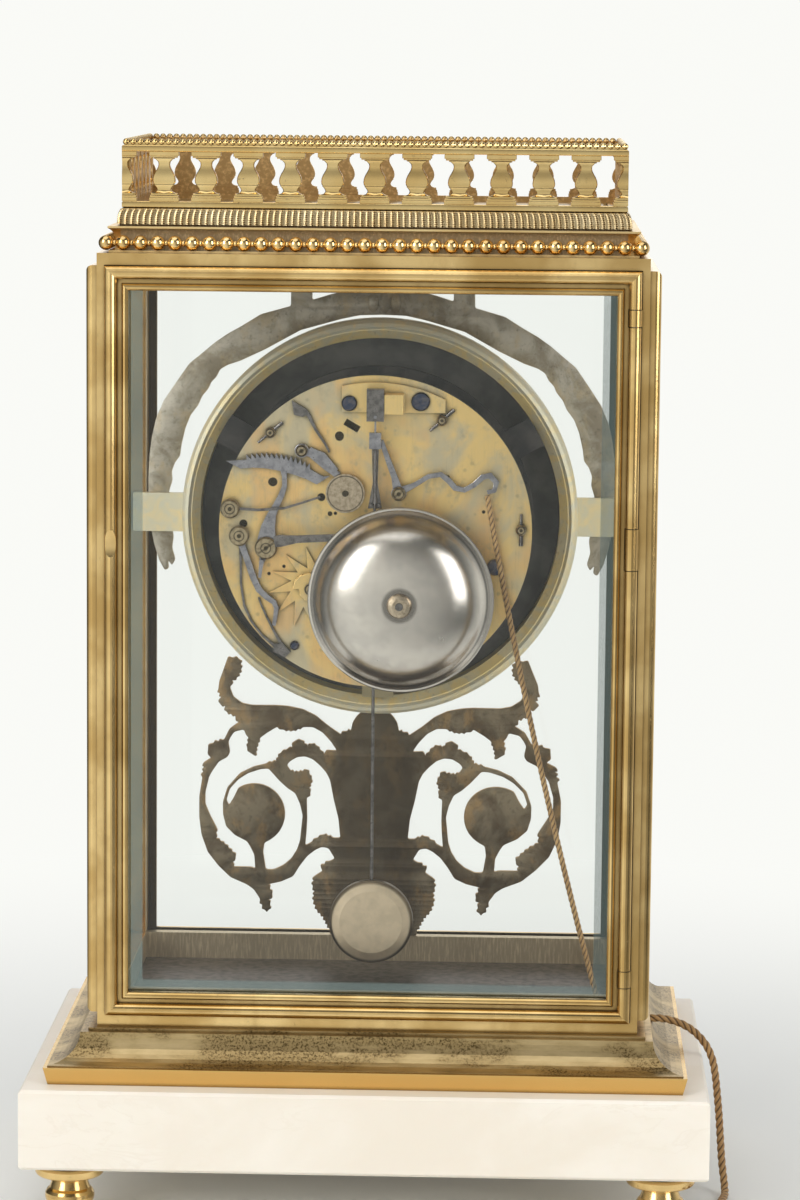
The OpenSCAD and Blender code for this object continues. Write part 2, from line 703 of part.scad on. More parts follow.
// Open scrollwork between the drum and the bottom rail, its half on the +X side.
// Points are distances from the clock's middle and heights above the dial's middle.
module scroll_half() {
  y_plate(ornament_back - ornament_t, ornament_back) {
    // Upper branch, ending in a curled leaf
    branch([[11, -92, 4.4], [15.2, -90.4, 3.4], [21.3, -85.4, 2.4], [26, -82.6, 2.8], [30.5, -81.2, 3.5],
      [38, -81, 4.6], [46, -80.8, 4.6], [53.5, -79.4, 4.1], [59.2, -74.6, 2.9], [61, -69.6, 2.2],
      [60.2, -65.4, 2.3], [57.9, -62.2, 2.9], [57.6, -58, 3]]);
    // Leaf tip that hangs from it
    branch([[50, -81, 4.4], [50, -89, 2.3], [49.6, -94, 1.6], [48.8, -96.8, 0.5]]);
    // Stem, bud and the big ring
    branch([[53, -82, 2.6], [57, -86, 2], [60.2, -89.4, 1.3], [62.4, -92.6, 4], [64, -96.6, 3.8],
      [66.4, -101.4, 1.9], [68.2, -105.5, 1.4], [69.5, -112, 1.2], [69.3, -119.5, 1.6],
      [67.3, -128.5, 2.7], [64.4, -133.8, 3.4], [58.9, -140.4, 3.3], [52, -144.4, 3.5],
      [44.6, -144.8, 3.2], [37.8, -143.4, 3], [32.7, -138.8, 2.2], [30.6, -133.2, 1.6],
      [29.6, -127, 1.1], [29, -121, 0.9], [29.6, -115, 1.1], [31, -110.8, 1.6]]);
    // Tail leaf under the ring
    branch([[47.4, -146, 3.2], [46, -150, 2.7], [45, -154, 1.5], [43.8, -157.8, 0.6]]);
    // Inner spiral that runs into the disc
    branch([[40, -101.4, 2.2], [43.4, -100.6, 1.1], [47, -100.8, 0.9], [51, -102.4, 1.1],
      [55, -104.9, 1.1], [58.6, -109.3, 1], [60.4, -114.6, 0.9], [60.2, -120, 1.2]]);
    translate(fit([48.9, -119.6])) circle(r = 12.3);
    // Stem that carries the disc
    branch([[48.4, -130, 3.4], [47.4, -134.4, 2], [46.8, -138, 1.8], [46.4, -143, 2.2]]);
    // Curl of small leaves beside the body
    branch([[16, -95.5, 4.4], [22, -98, 2.2], [26.4, -94.6, 3], [31, -93.4, 3.3], [35.8, -96, 2.4],
      [38.3, -99.8, 2.2], [38, -103.4, 3], [34.6, -106.2, 3.2], [30.6, -107, 3.9], [29, -110.5, 2.4],
      [29.4, -114, 1.2]]);
    // Lower branch back to the body
    branch([[30.5, -136.6, 2.6], [26.8, -133.2, 2], [22, -130.6, 2.3], [17, -131.2, 2.9], [11, -132.5, 4.4]]);
  }
}

// Middle of the scrollwork: a cap under the drum, a waisted body and a leafy fan on the rail
module scroll_body() {
  side = [[7.8, -77], [8.6, -79], [10.5, -82.6], [11.3, -86], [14.8, -87.4], [16.8, -94],
    [19.4, -96], [20.4, -102.6], [19.2, -105.7], [17.7, -113.4], [15.8, -121], [15, -129], [15.4, -136],
    [19.2, -138.3], [22.4, -140.6], [22, -142.4], [24.8, -144.2], [25.5, -148], [24.7, -150.2],
    [25.2, -154], [23.9, -157.6], [21.4, -160.3], [19, -163], [17, -167.6]];
  n = len(side);
  polygon(concat([for (p = side) fit(p) - [scroll_mid, 0]],
    [for (i = [n - 1:-1:0]) let (q = fit(side[i])) [scroll_mid - q[0], q[1]]]));
}

module scroll_ornament() {
  color(bronze) translate([scroll_mid, 0, dial_z]) {
    y_plate(ornament_back - ornament_t, ornament_back) scroll_body();
    for (s = [0, 1]) mirror([s, 0, 0]) translate([-scroll_mid, 0, 0]) scroll_half();
  }
}

// Plates, pillars and fixed pieces on them

module arbor_holes(y0, y1, r) {
  for (p = [going_at, strike_at, gather_at, hammer_at, crutch_at]) y_rod(p, y0, y1, r);
}

module front_plate() {
  ear_w = 12;
  color(brass) difference() {
    union() {
      y_rod([0, dial_z], front_out, front_in, plate_r + 0.5);
      intersection() {
        y_rod([0, dial_z], front_out, front_in, ring_bore_r);
        for (a = [30, 150, 270]) translate([0, 0, dial_z]) rotate([0, -a, 0])
          box_between([plate_r - 4, front_out, -ear_w / 2], [ring_bore_r + 1, front_in, ear_w / 2]);
      }
    }
    arbor_holes(front_out - 1, front_in + 1, pivot_r + run_gap);
    for (p = [going_at, strike_at]) y_rod(p, front_out - 1, front_in + 1, 3.2);
    y_rod([0, dial_z], front_out - 1, front_in + 1, 2.6);
    for (p = pillar_at) y_rod(p, front_out - 1, front_in + 1, pillar_shank_r);
  }
}

module back_plate() {
  sink = 1.2;
  color(brass) difference() {
    y_rod([0, dial_z], plate_in, plate_y, plate_r);
    arbor_holes(plate_in - 1, plate_y + 1, pivot_r + run_gap);
    y_rod([0, dial_z], plate_in - 1, plate_y - 1, pivot_r + run_gap);
    for (p = pillar_at) y_rod(p, plate_in - 1, plate_y + 1, pillar_shank_r + run_gap);
    for (p = [hole1_at, hole2_at]) y_rod(p, plate_y - sink, plate_y + 1, 1.7);
    y_rod(hole3_at, plate_y - sink, plate_y + 1, 0.9);
    translate([9, plate_y - sink, dial_z + 39.8]) rotate([0, -30, 0])
      cube([6, 3 * sink, 2.6], center = true);
  }
}

module pillars() {
  belly_r = pillar_r + 1;
  mid = (plate_in + front_in) / 2;
  color(brass) for (i = [0:len(pillar_at) - 1]) difference() {
    y_turn(pillar_at[i], [[0, front_out], [pillar_shank_r, front_out], [pillar_shank_r, front_in],
      [belly_r, front_in], [belly_r, front_in + 2], [pillar_r, front_in + 3], [pillar_r, mid - 4],
      [belly_r, mid - 1.5], [belly_r, mid + 1.5], [pillar_r, mid + 4], [pillar_r, plate_in - 3],
      [belly_r, plate_in - 2], [belly_r, plate_in], [pillar_shank_r, plate_in],
      [pillar_shank_r, plate_y + 2.6], [pillar_shank_r - 0.6, plate_y + 3.2], [0, plate_y + 3.2]]);
    pillar_pin(i, run_gap);
  }
}

// Taper pin across a pillar's end
module pillar_pin(i, grow) {
  translate([pillar_at[i][0], plate_y + 1.3, pillar_at[i][1]]) rotate([0, -pillar_turn[i], 0])
    translate([-6, 0, 0]) rotate([0, 90, 0]) cylinder(h = 12, r1 = 0.8 + grow, r2 = 0.5 + grow);
}

module pillar_pins() {
  color(steel) for (i = [0:len(pillar_at) - 1]) pillar_pin(i, 0);
}

// Headed stud on the back plate; the lever on it lies between the plate and the head
module stud(at, head_r, top) {
  y_rod(at, plate_y, top, 1.5);
  difference() {
    y_turn(at, [[0, top], [head_r, top], [head_r, top + 1], [head_r - 0.6, top + 1.6], [0, top + 1.6]]);
    translate([at[0], top + 1.5, at[1]]) rotate([0, 35, 0]) cube([2 * head_r + 1, 1, 0.8], center = true);
  }
}

stud1_top = layer1 + layer1_t + 0.2;
stud2_top = layer2 + layer2_t + 0.2;

module plate_studs() {
  color(steel) {
    stud(rack_at, 4.2, stud1_top);
    stud(hook_at, 2.2, stud1_top);
    stud(star_at, 2.2, stud2_top);
    stud(lever_at, 2.6, stud2_top);
    y_turn(spring_at, [[0, plate_y], [3.6, plate_y], [3.6, layer1 + 2.8], [3, layer1 + 3.4],
      [0, layer1 + 3.4]]);
    y_turn(jumper_at, [[0, plate_y], [3.2, plate_y], [3.2, jumper_y - 0.2], [1.5, jumper_y - 0.2],
      [1.5, stud2_top - 1], [3.8, stud2_top - 1], [3.8, stud2_top + 0.2], [3.2, stud2_top + 0.8],
      [0, stud2_top + 0.8]]);
  }
}

module slotted_screw(at, r, y, a) {
  difference() {
    y_turn(at, [[0, y], [r, y], [r, y + 0.9], [r - 0.5, y + 1.5], [0, y + 1.5]]);
    translate([at[0], y + 1.5, at[1]]) rotate([0, a, 0]) cube([2 * r + 1, 1.2, 0.7], center = true);
  }
}

cock_t = 2;

module plate_screws() {
  color(blued) {
    slotted_screw([10, cock_z - 0.6], 2.9, plate_y + cock_t, 60);
    slotted_screw([-16.6, cock_z + 0.3], 3.5, plate_y + cock_t, 20);
    slotted_screw([-45, dial_z - 12.8], 3, plate_y, 50);
    slotted_screw([30, dial_z - 43.4], 1.7, plate_y, 30);
  }
}

// Springs of wire and strip that press on the striking levers
module leaf_springs() {
  y = layer1;
  t = 1;
  color(steel) {
    // Long thin spring from its stud to the gathering arbor
    y_plate(layer2 - 0.1, layer2 + t - 0.3) stroke([[spring_at[0] - 3.65, spring_at[1] + 0.1, 0.5],
      [44, dial_z + 8, 0.5], [34, dial_z + 8.8, 0.45], [26.5, dial_z + 11.2, 0.4],
      [20.6, dial_z + 13.2, 0.4]]);
    // Foot and spring above the rack hook
    y_plate(plate_y, y + 1.4) polygon([[foot_spring_at[0] + 3.4, foot_spring_at[1] + 3.6],
      [foot_spring_at[0] + 2.6, foot_spring_at[1] - 1.6], [foot_spring_at[0] - 0.6, foot_spring_at[1] - 2.4],
      [foot_spring_at[0] - 3.4, foot_spring_at[1] - 1.2], [foot_spring_at[0] - 2, foot_spring_at[1] + 0.6]]);
    y_plate(y, y + t) stroke([[foot_spring_at[0] - 2.4, foot_spring_at[1] - 0.9, 0.7],
      [22.6, dial_z + 38.4, 0.5], [19, dial_z + 33, 0.4], [17.3, dial_z + 29.8, 0.35]]);
    // Foot at the bottom, and its two springs that press up against the jumper
    y_plate(plate_y, y + 1.6) polygon([[low_spring_at[0] + 2, low_spring_at[1] + 1.6],
      [low_spring_at[0] + 1.8, low_spring_at[1] - 1.4], [low_spring_at[0] - 2.6, low_spring_at[1] - 3.4],
      [low_spring_at[0] - 4.6, low_spring_at[1] - 1.2], [low_spring_at[0] - 1.6, low_spring_at[1] + 2]]);
    y_plate(y, y + 0.7) stroke([[low_spring_at[0] - 1.6, low_spring_at[1] + 0.6, 0.6],
      [38, dial_z - 37.6, 0.4], [40.6, dial_z - 32.4, 0.35], [42.8, dial_z - 27.6, 0.3],
      [43.6, dial_z - 25.2, 0.3]]);
    y_plate(y, y + 0.7) stroke([[low_spring_at[0] + 1.2, low_spring_at[1] + 0.6, 0.6],
      [42.2, dial_z - 39.6, 0.4], [46.2, dial_z - 34.4, 0.4], [49, dial_z - 28.4, 0.4],
      [50.3, dial_z - 20, 0.4], [50.4, dial_z - 12, 0.4], [50.7, dial_z - 5.6, 0.4]]);
  }
}

// Bent lever that holds the star wheel in step
module jumper() {
  color(steel) difference() {
    y_plate(jumper_y, jumper_y + layer1_t) {
      translate(jumper_at) circle(r = 3);
      stroke([[50.6, dial_z - 3, 1.6], [49.4, dial_z - 6.6, 1.2], [47.4, dial_z - 12, 1.2],
        [45.5, dial_z - 17.6, 1.2], [43.4, dial_z - 22, 1.2], [40.5, dial_z - 24.8, 1.1],
        [37.6, dial_z - 26.8, 1], [36.8, dial_z - 29, 0.9], [37.1, dial_z - 32, 0.8],
        [37.7, dial_z - 35.6, 0.7]]);
    }
    y_rod(jumper_at, jumper_y - 1, jumper_y + layer1_t + 1, 1.5 + run_gap);
  }
}

module suspension_cock() {
  x0 = -25.9;
  x1 = 12.8;
  rise = 4;
  color(brass) {
    intersection() {
      y_rod([0, dial_z], plate_y, plate_y + cock_t, plate_r - 2.4);
      box_between([x0, plate_y, cock_z - rise], [x1, plate_y + cock_t, cock_z + 12]);
    }
    box_between([-10.4, plate_y + cock_t - eps, cock_z - rise], [-3.2, rod_y + 2.6, cock_z + 3.4]);
  }
}

// Steel clamp that grips the pendulum's spring
module suspension_block() {
  color(blued) difference() {
    box_between([-3.2, rod_y - 3, flex_z - 1.6], [3.2, rod_y + 3, cock_z + 5.4]);
    box_between([-0.7, rod_y - 2, flex_z - 2], [0.7, rod_y + 2, flex_z + 2.3]);
    y_rod([0, flex_z], rod_y - 4, rod_y + 4, flex_pin_r + run_gap);
    for (z = [cock_z - 0.5, cock_z + 3]) translate([2, rod_y, z]) rotate([0, 90, 0])
      cylinder(h = 3, r = 1.1);
  }
}

module bell_stand() {
  crown = bell_y + bell_h - bell_t;
  at = [bell_x, bell_z];
  color(steel) y_turn(at, [[0, plate_y], [4.4, plate_y], [4.4, plate_y + 1], [2.4, plate_y + 2.4],
    [2.4, crown - 1], [3.4, crown - 1], [3.4, crown], [1.4, crown], [1.4, bell_y + bell_h + 3.4],
    [0, bell_y + bell_h + 3.4]]);
}

// Outer face of the bell: [radius, height over the rim] in shares of its radius and depth
function bell_line(r, h, y) = [[r, y], [r, y + 0.09 * h], [0.968 * r, y + 0.14 * h],
  [0.925 * r, y + 0.24 * h], [0.885 * r, y + 0.42 * h], [0.82 * r, y + 0.6 * h], [0.72 * r, y + 0.76 * h],
  [0.58 * r, y + 0.89 * h], [0.4 * r, y + 0.965 * h], [0.2 * r, y + h], [1.4 + run_gap, y + h]];

module bell() {
  outer = bell_line(bell_r, bell_h, bell_y);
  inner = bell_line(bell_r - bell_t, bell_h - bell_t, bell_y);
  n = len(outer);
  color(silver) y_turn([bell_x, bell_z],
    concat(outer, [for (i = [n - 1:-1:0]) inner[i]]));
}

module bell_nut() {
  y = bell_y + bell_h;
  color(brass) y_turn([bell_x, bell_z], [[1.4 + run_gap, y], [4.6, y], [4.6, y + 1], [4, y + 2.6],
    [2.6, y + 3], [1.4 + run_gap, y + 3]]);
}

// Pendulum and crutch

module suspension_spring() {
  t = 0.3;
  end = flex_z - 9;
  color(steel) {
    box_between([-t, rod_y - 1.3, end + 2], [t, rod_y + 1.3, flex_z + 0.4]);
    y_rod([0, flex_z], rod_y - 2.9, rod_y + 2.9, flex_pin_r);
  }
  color(brass) difference() {
    box_between([-2.2, rod_y - 1.6, end - 3], [2.2, rod_y + 1.6, end + 3]);
    translate([0, rod_y, end - 4]) cylinder(h = 5, r = rod_r + run_gap);
  }
}

module pendulum_rod() {
  color(steel) translate([0, rod_y, bob_z - 2]) cylinder(h = flex_z - 9 - bob_z + 1.6, r = rod_r);
}

module pendulum_bob() {
  h = bob_t / 2;
  color(silver) difference() {
    translate([0, rod_y, 0]) y_turn([0, bob_z], [[0, -h], [bob_r - 3, -h + 0.3], [bob_r - 0.8, -h + 1.4],
      [bob_r, -h + 2.4], [bob_r, h - 1.4], [bob_r - 1, h - 0.4], [bob_r - 4, h], [0, h]]);
    translate([0, rod_y, bob_z - 3]) cylinder(h = bob_r + 4, r = rod_r + run_gap);
  }
}

module crutch() {
  fork_z = crutch_at[1] - 22;
  inner = front_in;
  color(steel) {
    y_rod(crutch_at, front_out, crutch_y + crutch_t, pivot_r);
    y_rod(crutch_at, inner + 0.5, plate_in - 0.5, 1.6);
    y_plate(crutch_y, crutch_y + crutch_t) stroke([[0, crutch_at[1] + 1.8, 1.4], [0, crutch_at[1] - 4, 1.2],
      [0, crutch_at[1] - 14, 0.9], [0, fork_z - 1.6, 2.6]]);
    for (s = [-1, 1]) y_rod([s * (rod_r + 0.9), fork_z], crutch_y, rod_y + 1.8, 0.5);
    // Anchor pallets over the escape wheel's place
    y_plate(plate_in - 8, plate_in - 6, crutch_at) stroke([[-9.6, -9, 0.9], [-7.2, -3.4, 1.5],
      [0, 0, 2.2], [7.2, -3.4, 1.5], [9.6, -9, 0.9]]);
  }
}

// Hands and arbors

hour_y = dial_front - 0.7;
minute_y = dial_front - 2;
hand_t = 0.6;
pipe_r = 2.3;

module centre_arbor() {
  wheel_r = 14;
  color(steel) {
    y_rod([0, dial_z], front_out - 8, plate_y - 1, pivot_r);
    y_rod([0, dial_z], minute_y - hand_t - 1.8, front_out - 6, 1.3);
  }
  color(brass) y_rod([0, dial_z], plate_in - 11, plate_in - 9.4, wheel_r);
}

module minute_hand() {
  l = bezel_bore_r - 7;
  color(gilt) difference() {
    y_plate(minute_y - hand_t, minute_y, [0, dial_z]) {
      circle(r = 4);
      stroke([[0, 2, 1.6], [0, 0.36 * l, 1], [0, 0.42 * l, 2.8], [0, 0.5 * l, 1.1], [0, 0.62 * l, 0.9],
        [0, 0.68 * l, 2.2], [0, 0.76 * l, 0.8], [0, l, 0.2]]);
      stroke([[0, -2, 1.4], [0, -11, 1], [0, -14, 2.6], [0, -17, 0.4]]);
    }
    y_rod([0, dial_z], minute_y - 2, minute_y + 1, 1.3);
  }
}

module hour_hand() {
  l = bezel_bore_r - 24;
  color(gilt) difference() {
    union() {
      y_plate(hour_y - hand_t, hour_y, [0, dial_z]) {
        circle(r = 5);
        stroke([[0, 2, 2], [0, 0.36 * l, 1.2], [0, 0.46 * l, 4.4], [0, 0.6 * l, 1.6], [0, 0.7 * l, 3.2],
          [0, 0.84 * l, 1], [0, l, 0.2]]);
      }
      y_rod([0, dial_z], hour_y - eps, front_out - 1.2, pipe_r);
      y_rod([0, dial_z], front_out - 4, front_out - 2.4, 11);
    }
    y_rod([0, dial_z], hour_y - 2, front_out, 1.3 + run_gap + 0.3);
  }
}

// Spring barrel with its toothed rim, arbor and winding square
module barrel(at, teeth) {
  y0 = front_in + 4;
  y1 = plate_in - 13;
  root = barrel_r - 1.1;
  sq = 2.6;
  color(brass) {
    y_rod(at, y0, y1, root - 1.2);
    y_plate(y0 + 1.5, y0 + 4, at) polygon([for (i = [0:teeth - 1], k = [0:3])
      let (a = 360 * (i + [0, 0.32, 0.5, 0.82][k]) / teeth, r = [barrel_r, barrel_r, root, root][k])
      [r * cos(a), r * sin(a)]]);
  }
  color(steel) {
    y_rod(at, front_out, y0, 2.6);
    y_rod(at, y1, plate_in - 0.5, 2.6);
    y_rod(at, plate_in - 1, plate_y, pivot_r);
    translate([at[0] - sq / 2, dial_front + 0.2, at[1] - sq / 2])
      cube([sq, front_out - dial_front, sq]);
  }
}

module going_barrel() {
  barrel(going_at, 72);
}

module strike_barrel() {
  barrel(strike_at, 78);
}

// Striking work on the back plate

// Toothed segment: teeth point outwards from the rack's stud
module rack_outline() {
  tooth = 3;
  h = 1.9;
  first = 77;
  polygon(concat(
    [[rack_r * cos(65), rack_r * sin(65)]],
    [for (i = [0:rack_teeth - 1], k = [0:2]) let (a = first + tooth * (i + [0.1, 0.25, 0.95][k]),
      r = [rack_r - h, rack_r, rack_r - h][k]) [r * cos(a), r * sin(a)]],
    [for (p = [[rack_r - 1.4, 128], [rack_r + 0.4, 131]]) [p[0] * cos(p[1]), p[0] * sin(p[1])]],
    [for (i = [0:6]) let (a = 128 - 8 * i, r = rack_r - 5.2 - 1.2 * sin(30 * i)) [r * cos(a), r * sin(a)]],
    [[(rack_r - 4.6) * cos(72), (rack_r - 4.6) * sin(72)]]));
}

module rack() {
  color(steel) difference() {
    union() {
      y_plate(layer1, layer1 + layer1_t, rack_at) {
        rack_outline();
        stroke([[-6.2, 31, 1.4], [-6.7, 27, 0.9], [-6.8, 23.3, 0.9], [-5.5, 19.6, 1.1],
          [-3.6, 15.8, 1.2], [-2, 12.3, 1.7], [-0.7, 7.8, 2.6], [-0.2, 3.3, 3.4], [0, 0, 3.6]]);
        stroke([[0, 0, 3.2], [1.2, -3.6, 1.3], [1.6, -5.4, 0.9]]);
        circle(r = 3.8);
      }
      // Tail, stepped up to clear the star wheel
      y_rod(rack_at + [1.6, -5.3], layer1, layer2 + layer2_t, 0.9);
      y_plate(layer2, layer2 + layer2_t, rack_at)
        stroke([[1.5, -5, 0.9], [1.9, -7.6, 0.7], [2.2, -11.1, 0.5]]);
    }
    y_rod(rack_at, layer1 - 1, layer1 + layer1_t + 1, 1.5 + run_gap);
  }
}

module rack_hook() {
  color(steel) difference() {
    y_plate(layer1, layer1 + layer1_t, hook_at) {
      circle(r = 2.6);
      stroke([[1, 0.6, 1.6], [-3.6, -1, 1.5], [-9.5, -6, 1.4], [-13.8, -9.2, 1.2]]);
      stroke([[-3, 0.4, 1], [-8, -1.6, 1.1], [-13, -7.4, 1]]);
    }
    y_rod(hook_at, layer1 - 1, layer1 + layer1_t + 1, 1.5 + run_gap);
  }
}

module gathering_disc() {
  color(brass) difference() {
    y_rod(gather_at, layer2, layer2 + layer2_t, gather_r);
    y_rod([gather_at[0] - 0.3, gather_at[1]], layer2 + 0.8, layer2 + 3, 1.1);
  }
  color(steel) {
    y_rod(gather_at, front_out, layer2 + 0.4, pivot_r);
    y_rod(gather_at, front_in + 0.5, plate_in - 0.5, 1.8);
    y_plate(layer1, layer1 + 1.4, gather_at) stroke([[0, 0, 2], [2.6, 0.8, 1.2], [4.2, 1.6, 0.7]]);
  }
}

// Star wheel with the stepped cam that stops the rack's tail
module star_wheel() {
  root_r = 7.6;
  first_a = 23;
  snail_r = 6.6;
  color(brass) difference() {
    union() {
      y_plate(star_y, star_y + star_t, star_at)
        polygon([for (i = [0:star_points - 1], k = [0, 1])
          let (a = first_a + 360 / star_points * (i + [0, 0.92][k]), r = k == 0 ? star_r : root_r)
          [r * cos(a), r * sin(a)]]);
      y_plate(star_y + star_t - 0.2, layer2 + layer2_t, star_at)
        polygon([for (i = [0:11], k = [0, 1]) let (a = 30 * (i + k), r = snail_r - 0.2 * i)
          [r * cos(a), r * sin(a)]]);
    }
    y_rod(star_at, star_y - 1, layer2 + layer2_t + 1, 1.5 + run_gap);
  }
}

// Lever that the repeat cord pulls: an S-scroll to the right and a short arm upwards
module repeat_lever() {
  end = lever_end - lever_at;
  color(steel) difference() {
    y_plate(layer2, layer2 + layer2_t, lever_at) {
      circle(r = 2.8);
      stroke([[0, 0, 2], [1.6, 6, 1.2], [4.4, 13.4, 1], [6.8, 20, 0.8]]);
      stroke([[0, 0.6, 1.6], [-6, 3.4, 0.9], [-11, 6.6, 0.9], [-15.6, 7.4, 1], [-18.8, 5, 1.1],
        [-21, 2.4, 1.1], [-24.4, 1.7, 1], [-28, 3.6, 1], [-31.2, 6.6, 1.1], [end[0], end[1] + 1.4, 1.2],
        [-36.4, 4.6, 1.1], [-35.6, 1.6, 0.9], [-33, 0.9, 0.8]]);
    }
    y_rod(lever_at, layer2 - 1, layer2 + layer2_t + 1, 1.5 + run_gap);
  }
}

module hammer() {
  reach = hammer_head - hammer_at;
  color(steel) {
    y_rod(hammer_at, front_out, hammer_y + 1.4, pivot_r);
    y_rod(hammer_at, front_in + 0.5, plate_in - 0.5, 1.3);
    y_rod(hammer_at, plate_y + 0.4, hammer_y, 1.2);
    y_plate(hammer_y, hammer_y + 1.4, hammer_at)
      stroke([[2.4, -0.4, 2], [0, 0, 2.2], [-6, 0.7, 1.4], [reach[0], reach[1], 1.3]]);
    y_rod(hammer_head, hammer_y, bell_y + 4.5, hammer_head_r);
  }
}

// Cord: tubes are swept along their points with rings square to the way

function way(p, i) = unit(p[min(i + 1, len(p) - 1)] - p[max(i - 1, 0)]);
function ring_at(p, i, r, n) = let (d = way(p, i), across = abs(d[2]) > 0.9 ? [1, 0, 0] : [0, 0, 1],
  side = unit(cross(d, across)), up = cross(side, d)) [for (k = [0:n - 1]) let (a = 360 * (k + 0.5) / n)
  p[i] + r * (side * cos(a) + up * sin(a))];

module tube(p, r, n) {
  m = len(p);
  pts = [for (i = [0:m - 1]) each ring_at(p, i, r, n)];
  walls = [for (i = [0:m - 2], k = [0:n - 1], t = [0, 1]) let (a = i * n + k, b = i * n + (k + 1) % n)
    t == 0 ? [a, b, b + n] : [a, b + n, a + n]];
  caps = [for (k = [1:n - 2], e = [0, 1]) e == 0 ? [0, k + 1, k] : [(m - 1) * n, (m - 1) * n + k,
    (m - 1) * n + k + 1]];
  polyhedron(points = pts, faces = [for (f = concat(walls, caps)) [f[0], f[2], f[1]]]);
}

// Flat coil on the table that winds inwards from the end of the route and lifts to its knot
coil_r0 = coil_in + coil_step * coil_loops;
coil_at = last(cord_route) - coil_r0 * [cos(coil_start_a), sin(coil_start_a), 0];
function coil_end(t) = pow(max(0, 1 - 4 * (coil_loops - t)), 2);
function coil_point(t) = let (r = coil_r0 - coil_step * t - knot_in * coil_end(t), a = coil_start_a + 360 * t)
  coil_at + [r * cos(a), r * sin(a), (knot_r - cord_r) * coil_end(t)];
coil_points = [for (i = [0:coil_loops * coil_rings]) coil_point(i / coil_rings)];
coil_gap = min([for (i = [0:len(coil_points) - 1 - coil_rings], k = [-2:2])
  norm(coil_points[min(i + coil_rings + k, len(coil_points) - 1)] - coil_points[i])]) - cord_d;

module pull_cord() {
  color(silk) tube(cord_route, cord_r, tube_sides);
}

module cord_coil() {
  echo(str("Least gap between the coil's turns: ", coil_gap, " mm"));
  color(silk) tube(coil_points, cord_r, coil_sides);
}

// Knot at the end of the cord, with a short tail
module cord_knot() {
  p = last(coil_points);
  d = unit(p - coil_points[len(coil_points) - 2]);
  color(silk) translate(p) rotate([0, 0, atan2(d[1], d[0])]) rotate([0, acos(d[2]), 0])
    rotate_extrude() polygon([[0, 0], [cord_r, 0], [knot_r - 0.5, 0.8], [knot_r, 2], [knot_r, 3.4],
      [knot_r - 0.7, 4.8], [cord_r, 5.6], [cord_r + 0.2, 7.4], [0, 7.4]]);
}

// The cord inside the case, on a slight bow towards the middle
module cord_run() {
  d = cord_low - cord_top;
  chord = norm(d);
  bend_r = chord * chord / (8 * cord_bow) + cord_bow / 2;
  half_a = asin(chord / (2 * bend_r));
  color(silk) translate((cord_top + cord_low) / 2)
    rotate([0, 0, atan2(d[1], d[0])]) rotate([0, acos(d[2] / chord), 0])
      translate([cord_bow - bend_r, 0, 0]) rotate([90, 0, 0]) rotate([0, 0, -half_a])
        rotate_extrude(angle = 2 * half_a) translate([bend_r, 0]) circle(r = cord_r);
}

feet();
marble_base();
plinth();
case_floor();
case_frame();
side_frames();
side_glasses();
case_roof();
cornice();
cornice_beads();
reeded_moulding();
gallery();
door_knuckles();  // rear_knuckles
rotate([0, 0, 180]) door_knuckles();  // front_knuckles
drum_ring();
mounting_lugs();
bezel();
dial();
garland();
scroll_ornament();
front_plate();
back_plate();
pillars();
pillar_pins();
plate_studs();
plate_screws();
leaf_springs();
jumper();
suspension_cock();
suspension_block();
bell_stand();
bell();
bell_nut();
pull_cord();
cord_coil();
cord_knot();
door_frame();  // rear_door_frame
door_glass();  // rear_door_glass
door_pins();  // rear_hinge_pins
door_catch();  // rear_catch
rotate([0, 0, 180]) door_frame();  // front_door_frame
rotate([0, 0, 180]) door_glass();  // front_door_glass
rotate([0, 0, 180]) door_pins();  // front_hinge_pins
rotate([0, 0, 180]) door_catch();  // front_catch
suspension_spring();
pendulum_rod();
pendulum_bob();
crutch();
centre_arbor();
minute_hand();
hour_hand();
going_barrel();
strike_barrel();
repeat_lever();
cord_run();
rack();
rack_hook();
gathering_disc();
star_wheel();
hammer();
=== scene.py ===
"""Glazed table clock on a marble slab, seen from behind with its movement open to view.

The CAD model is the fixed frame. This script gives every part its finish, makes the cast,
beaded and twisted pieces in full, and sets the camera, the lamps and the pale studio floor.
"""

import math

import bmesh
import bpy
from mathutils import Matrix, Vector


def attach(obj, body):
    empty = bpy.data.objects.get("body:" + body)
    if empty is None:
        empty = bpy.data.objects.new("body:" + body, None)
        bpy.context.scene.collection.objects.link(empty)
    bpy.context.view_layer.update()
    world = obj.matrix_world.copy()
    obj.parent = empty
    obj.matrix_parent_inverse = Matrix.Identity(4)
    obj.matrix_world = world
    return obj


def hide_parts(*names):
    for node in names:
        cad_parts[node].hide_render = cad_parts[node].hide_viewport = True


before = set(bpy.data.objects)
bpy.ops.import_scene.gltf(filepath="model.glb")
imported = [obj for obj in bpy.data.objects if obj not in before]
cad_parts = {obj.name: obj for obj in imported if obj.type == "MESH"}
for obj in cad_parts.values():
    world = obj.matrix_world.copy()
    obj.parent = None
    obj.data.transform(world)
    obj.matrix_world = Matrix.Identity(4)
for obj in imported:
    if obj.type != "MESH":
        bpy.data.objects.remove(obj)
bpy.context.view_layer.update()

MM = 0.001

# Heights and places of the clock, in millimetres as in the CAD source
HALF_W = 100
HALF_D = 54.8
NARROWER = HALF_W - HALF_D
# Half sizes of the room between the glasses
ROOM_HALF_W, ROOM_HALF_D = 91.7, 50.4
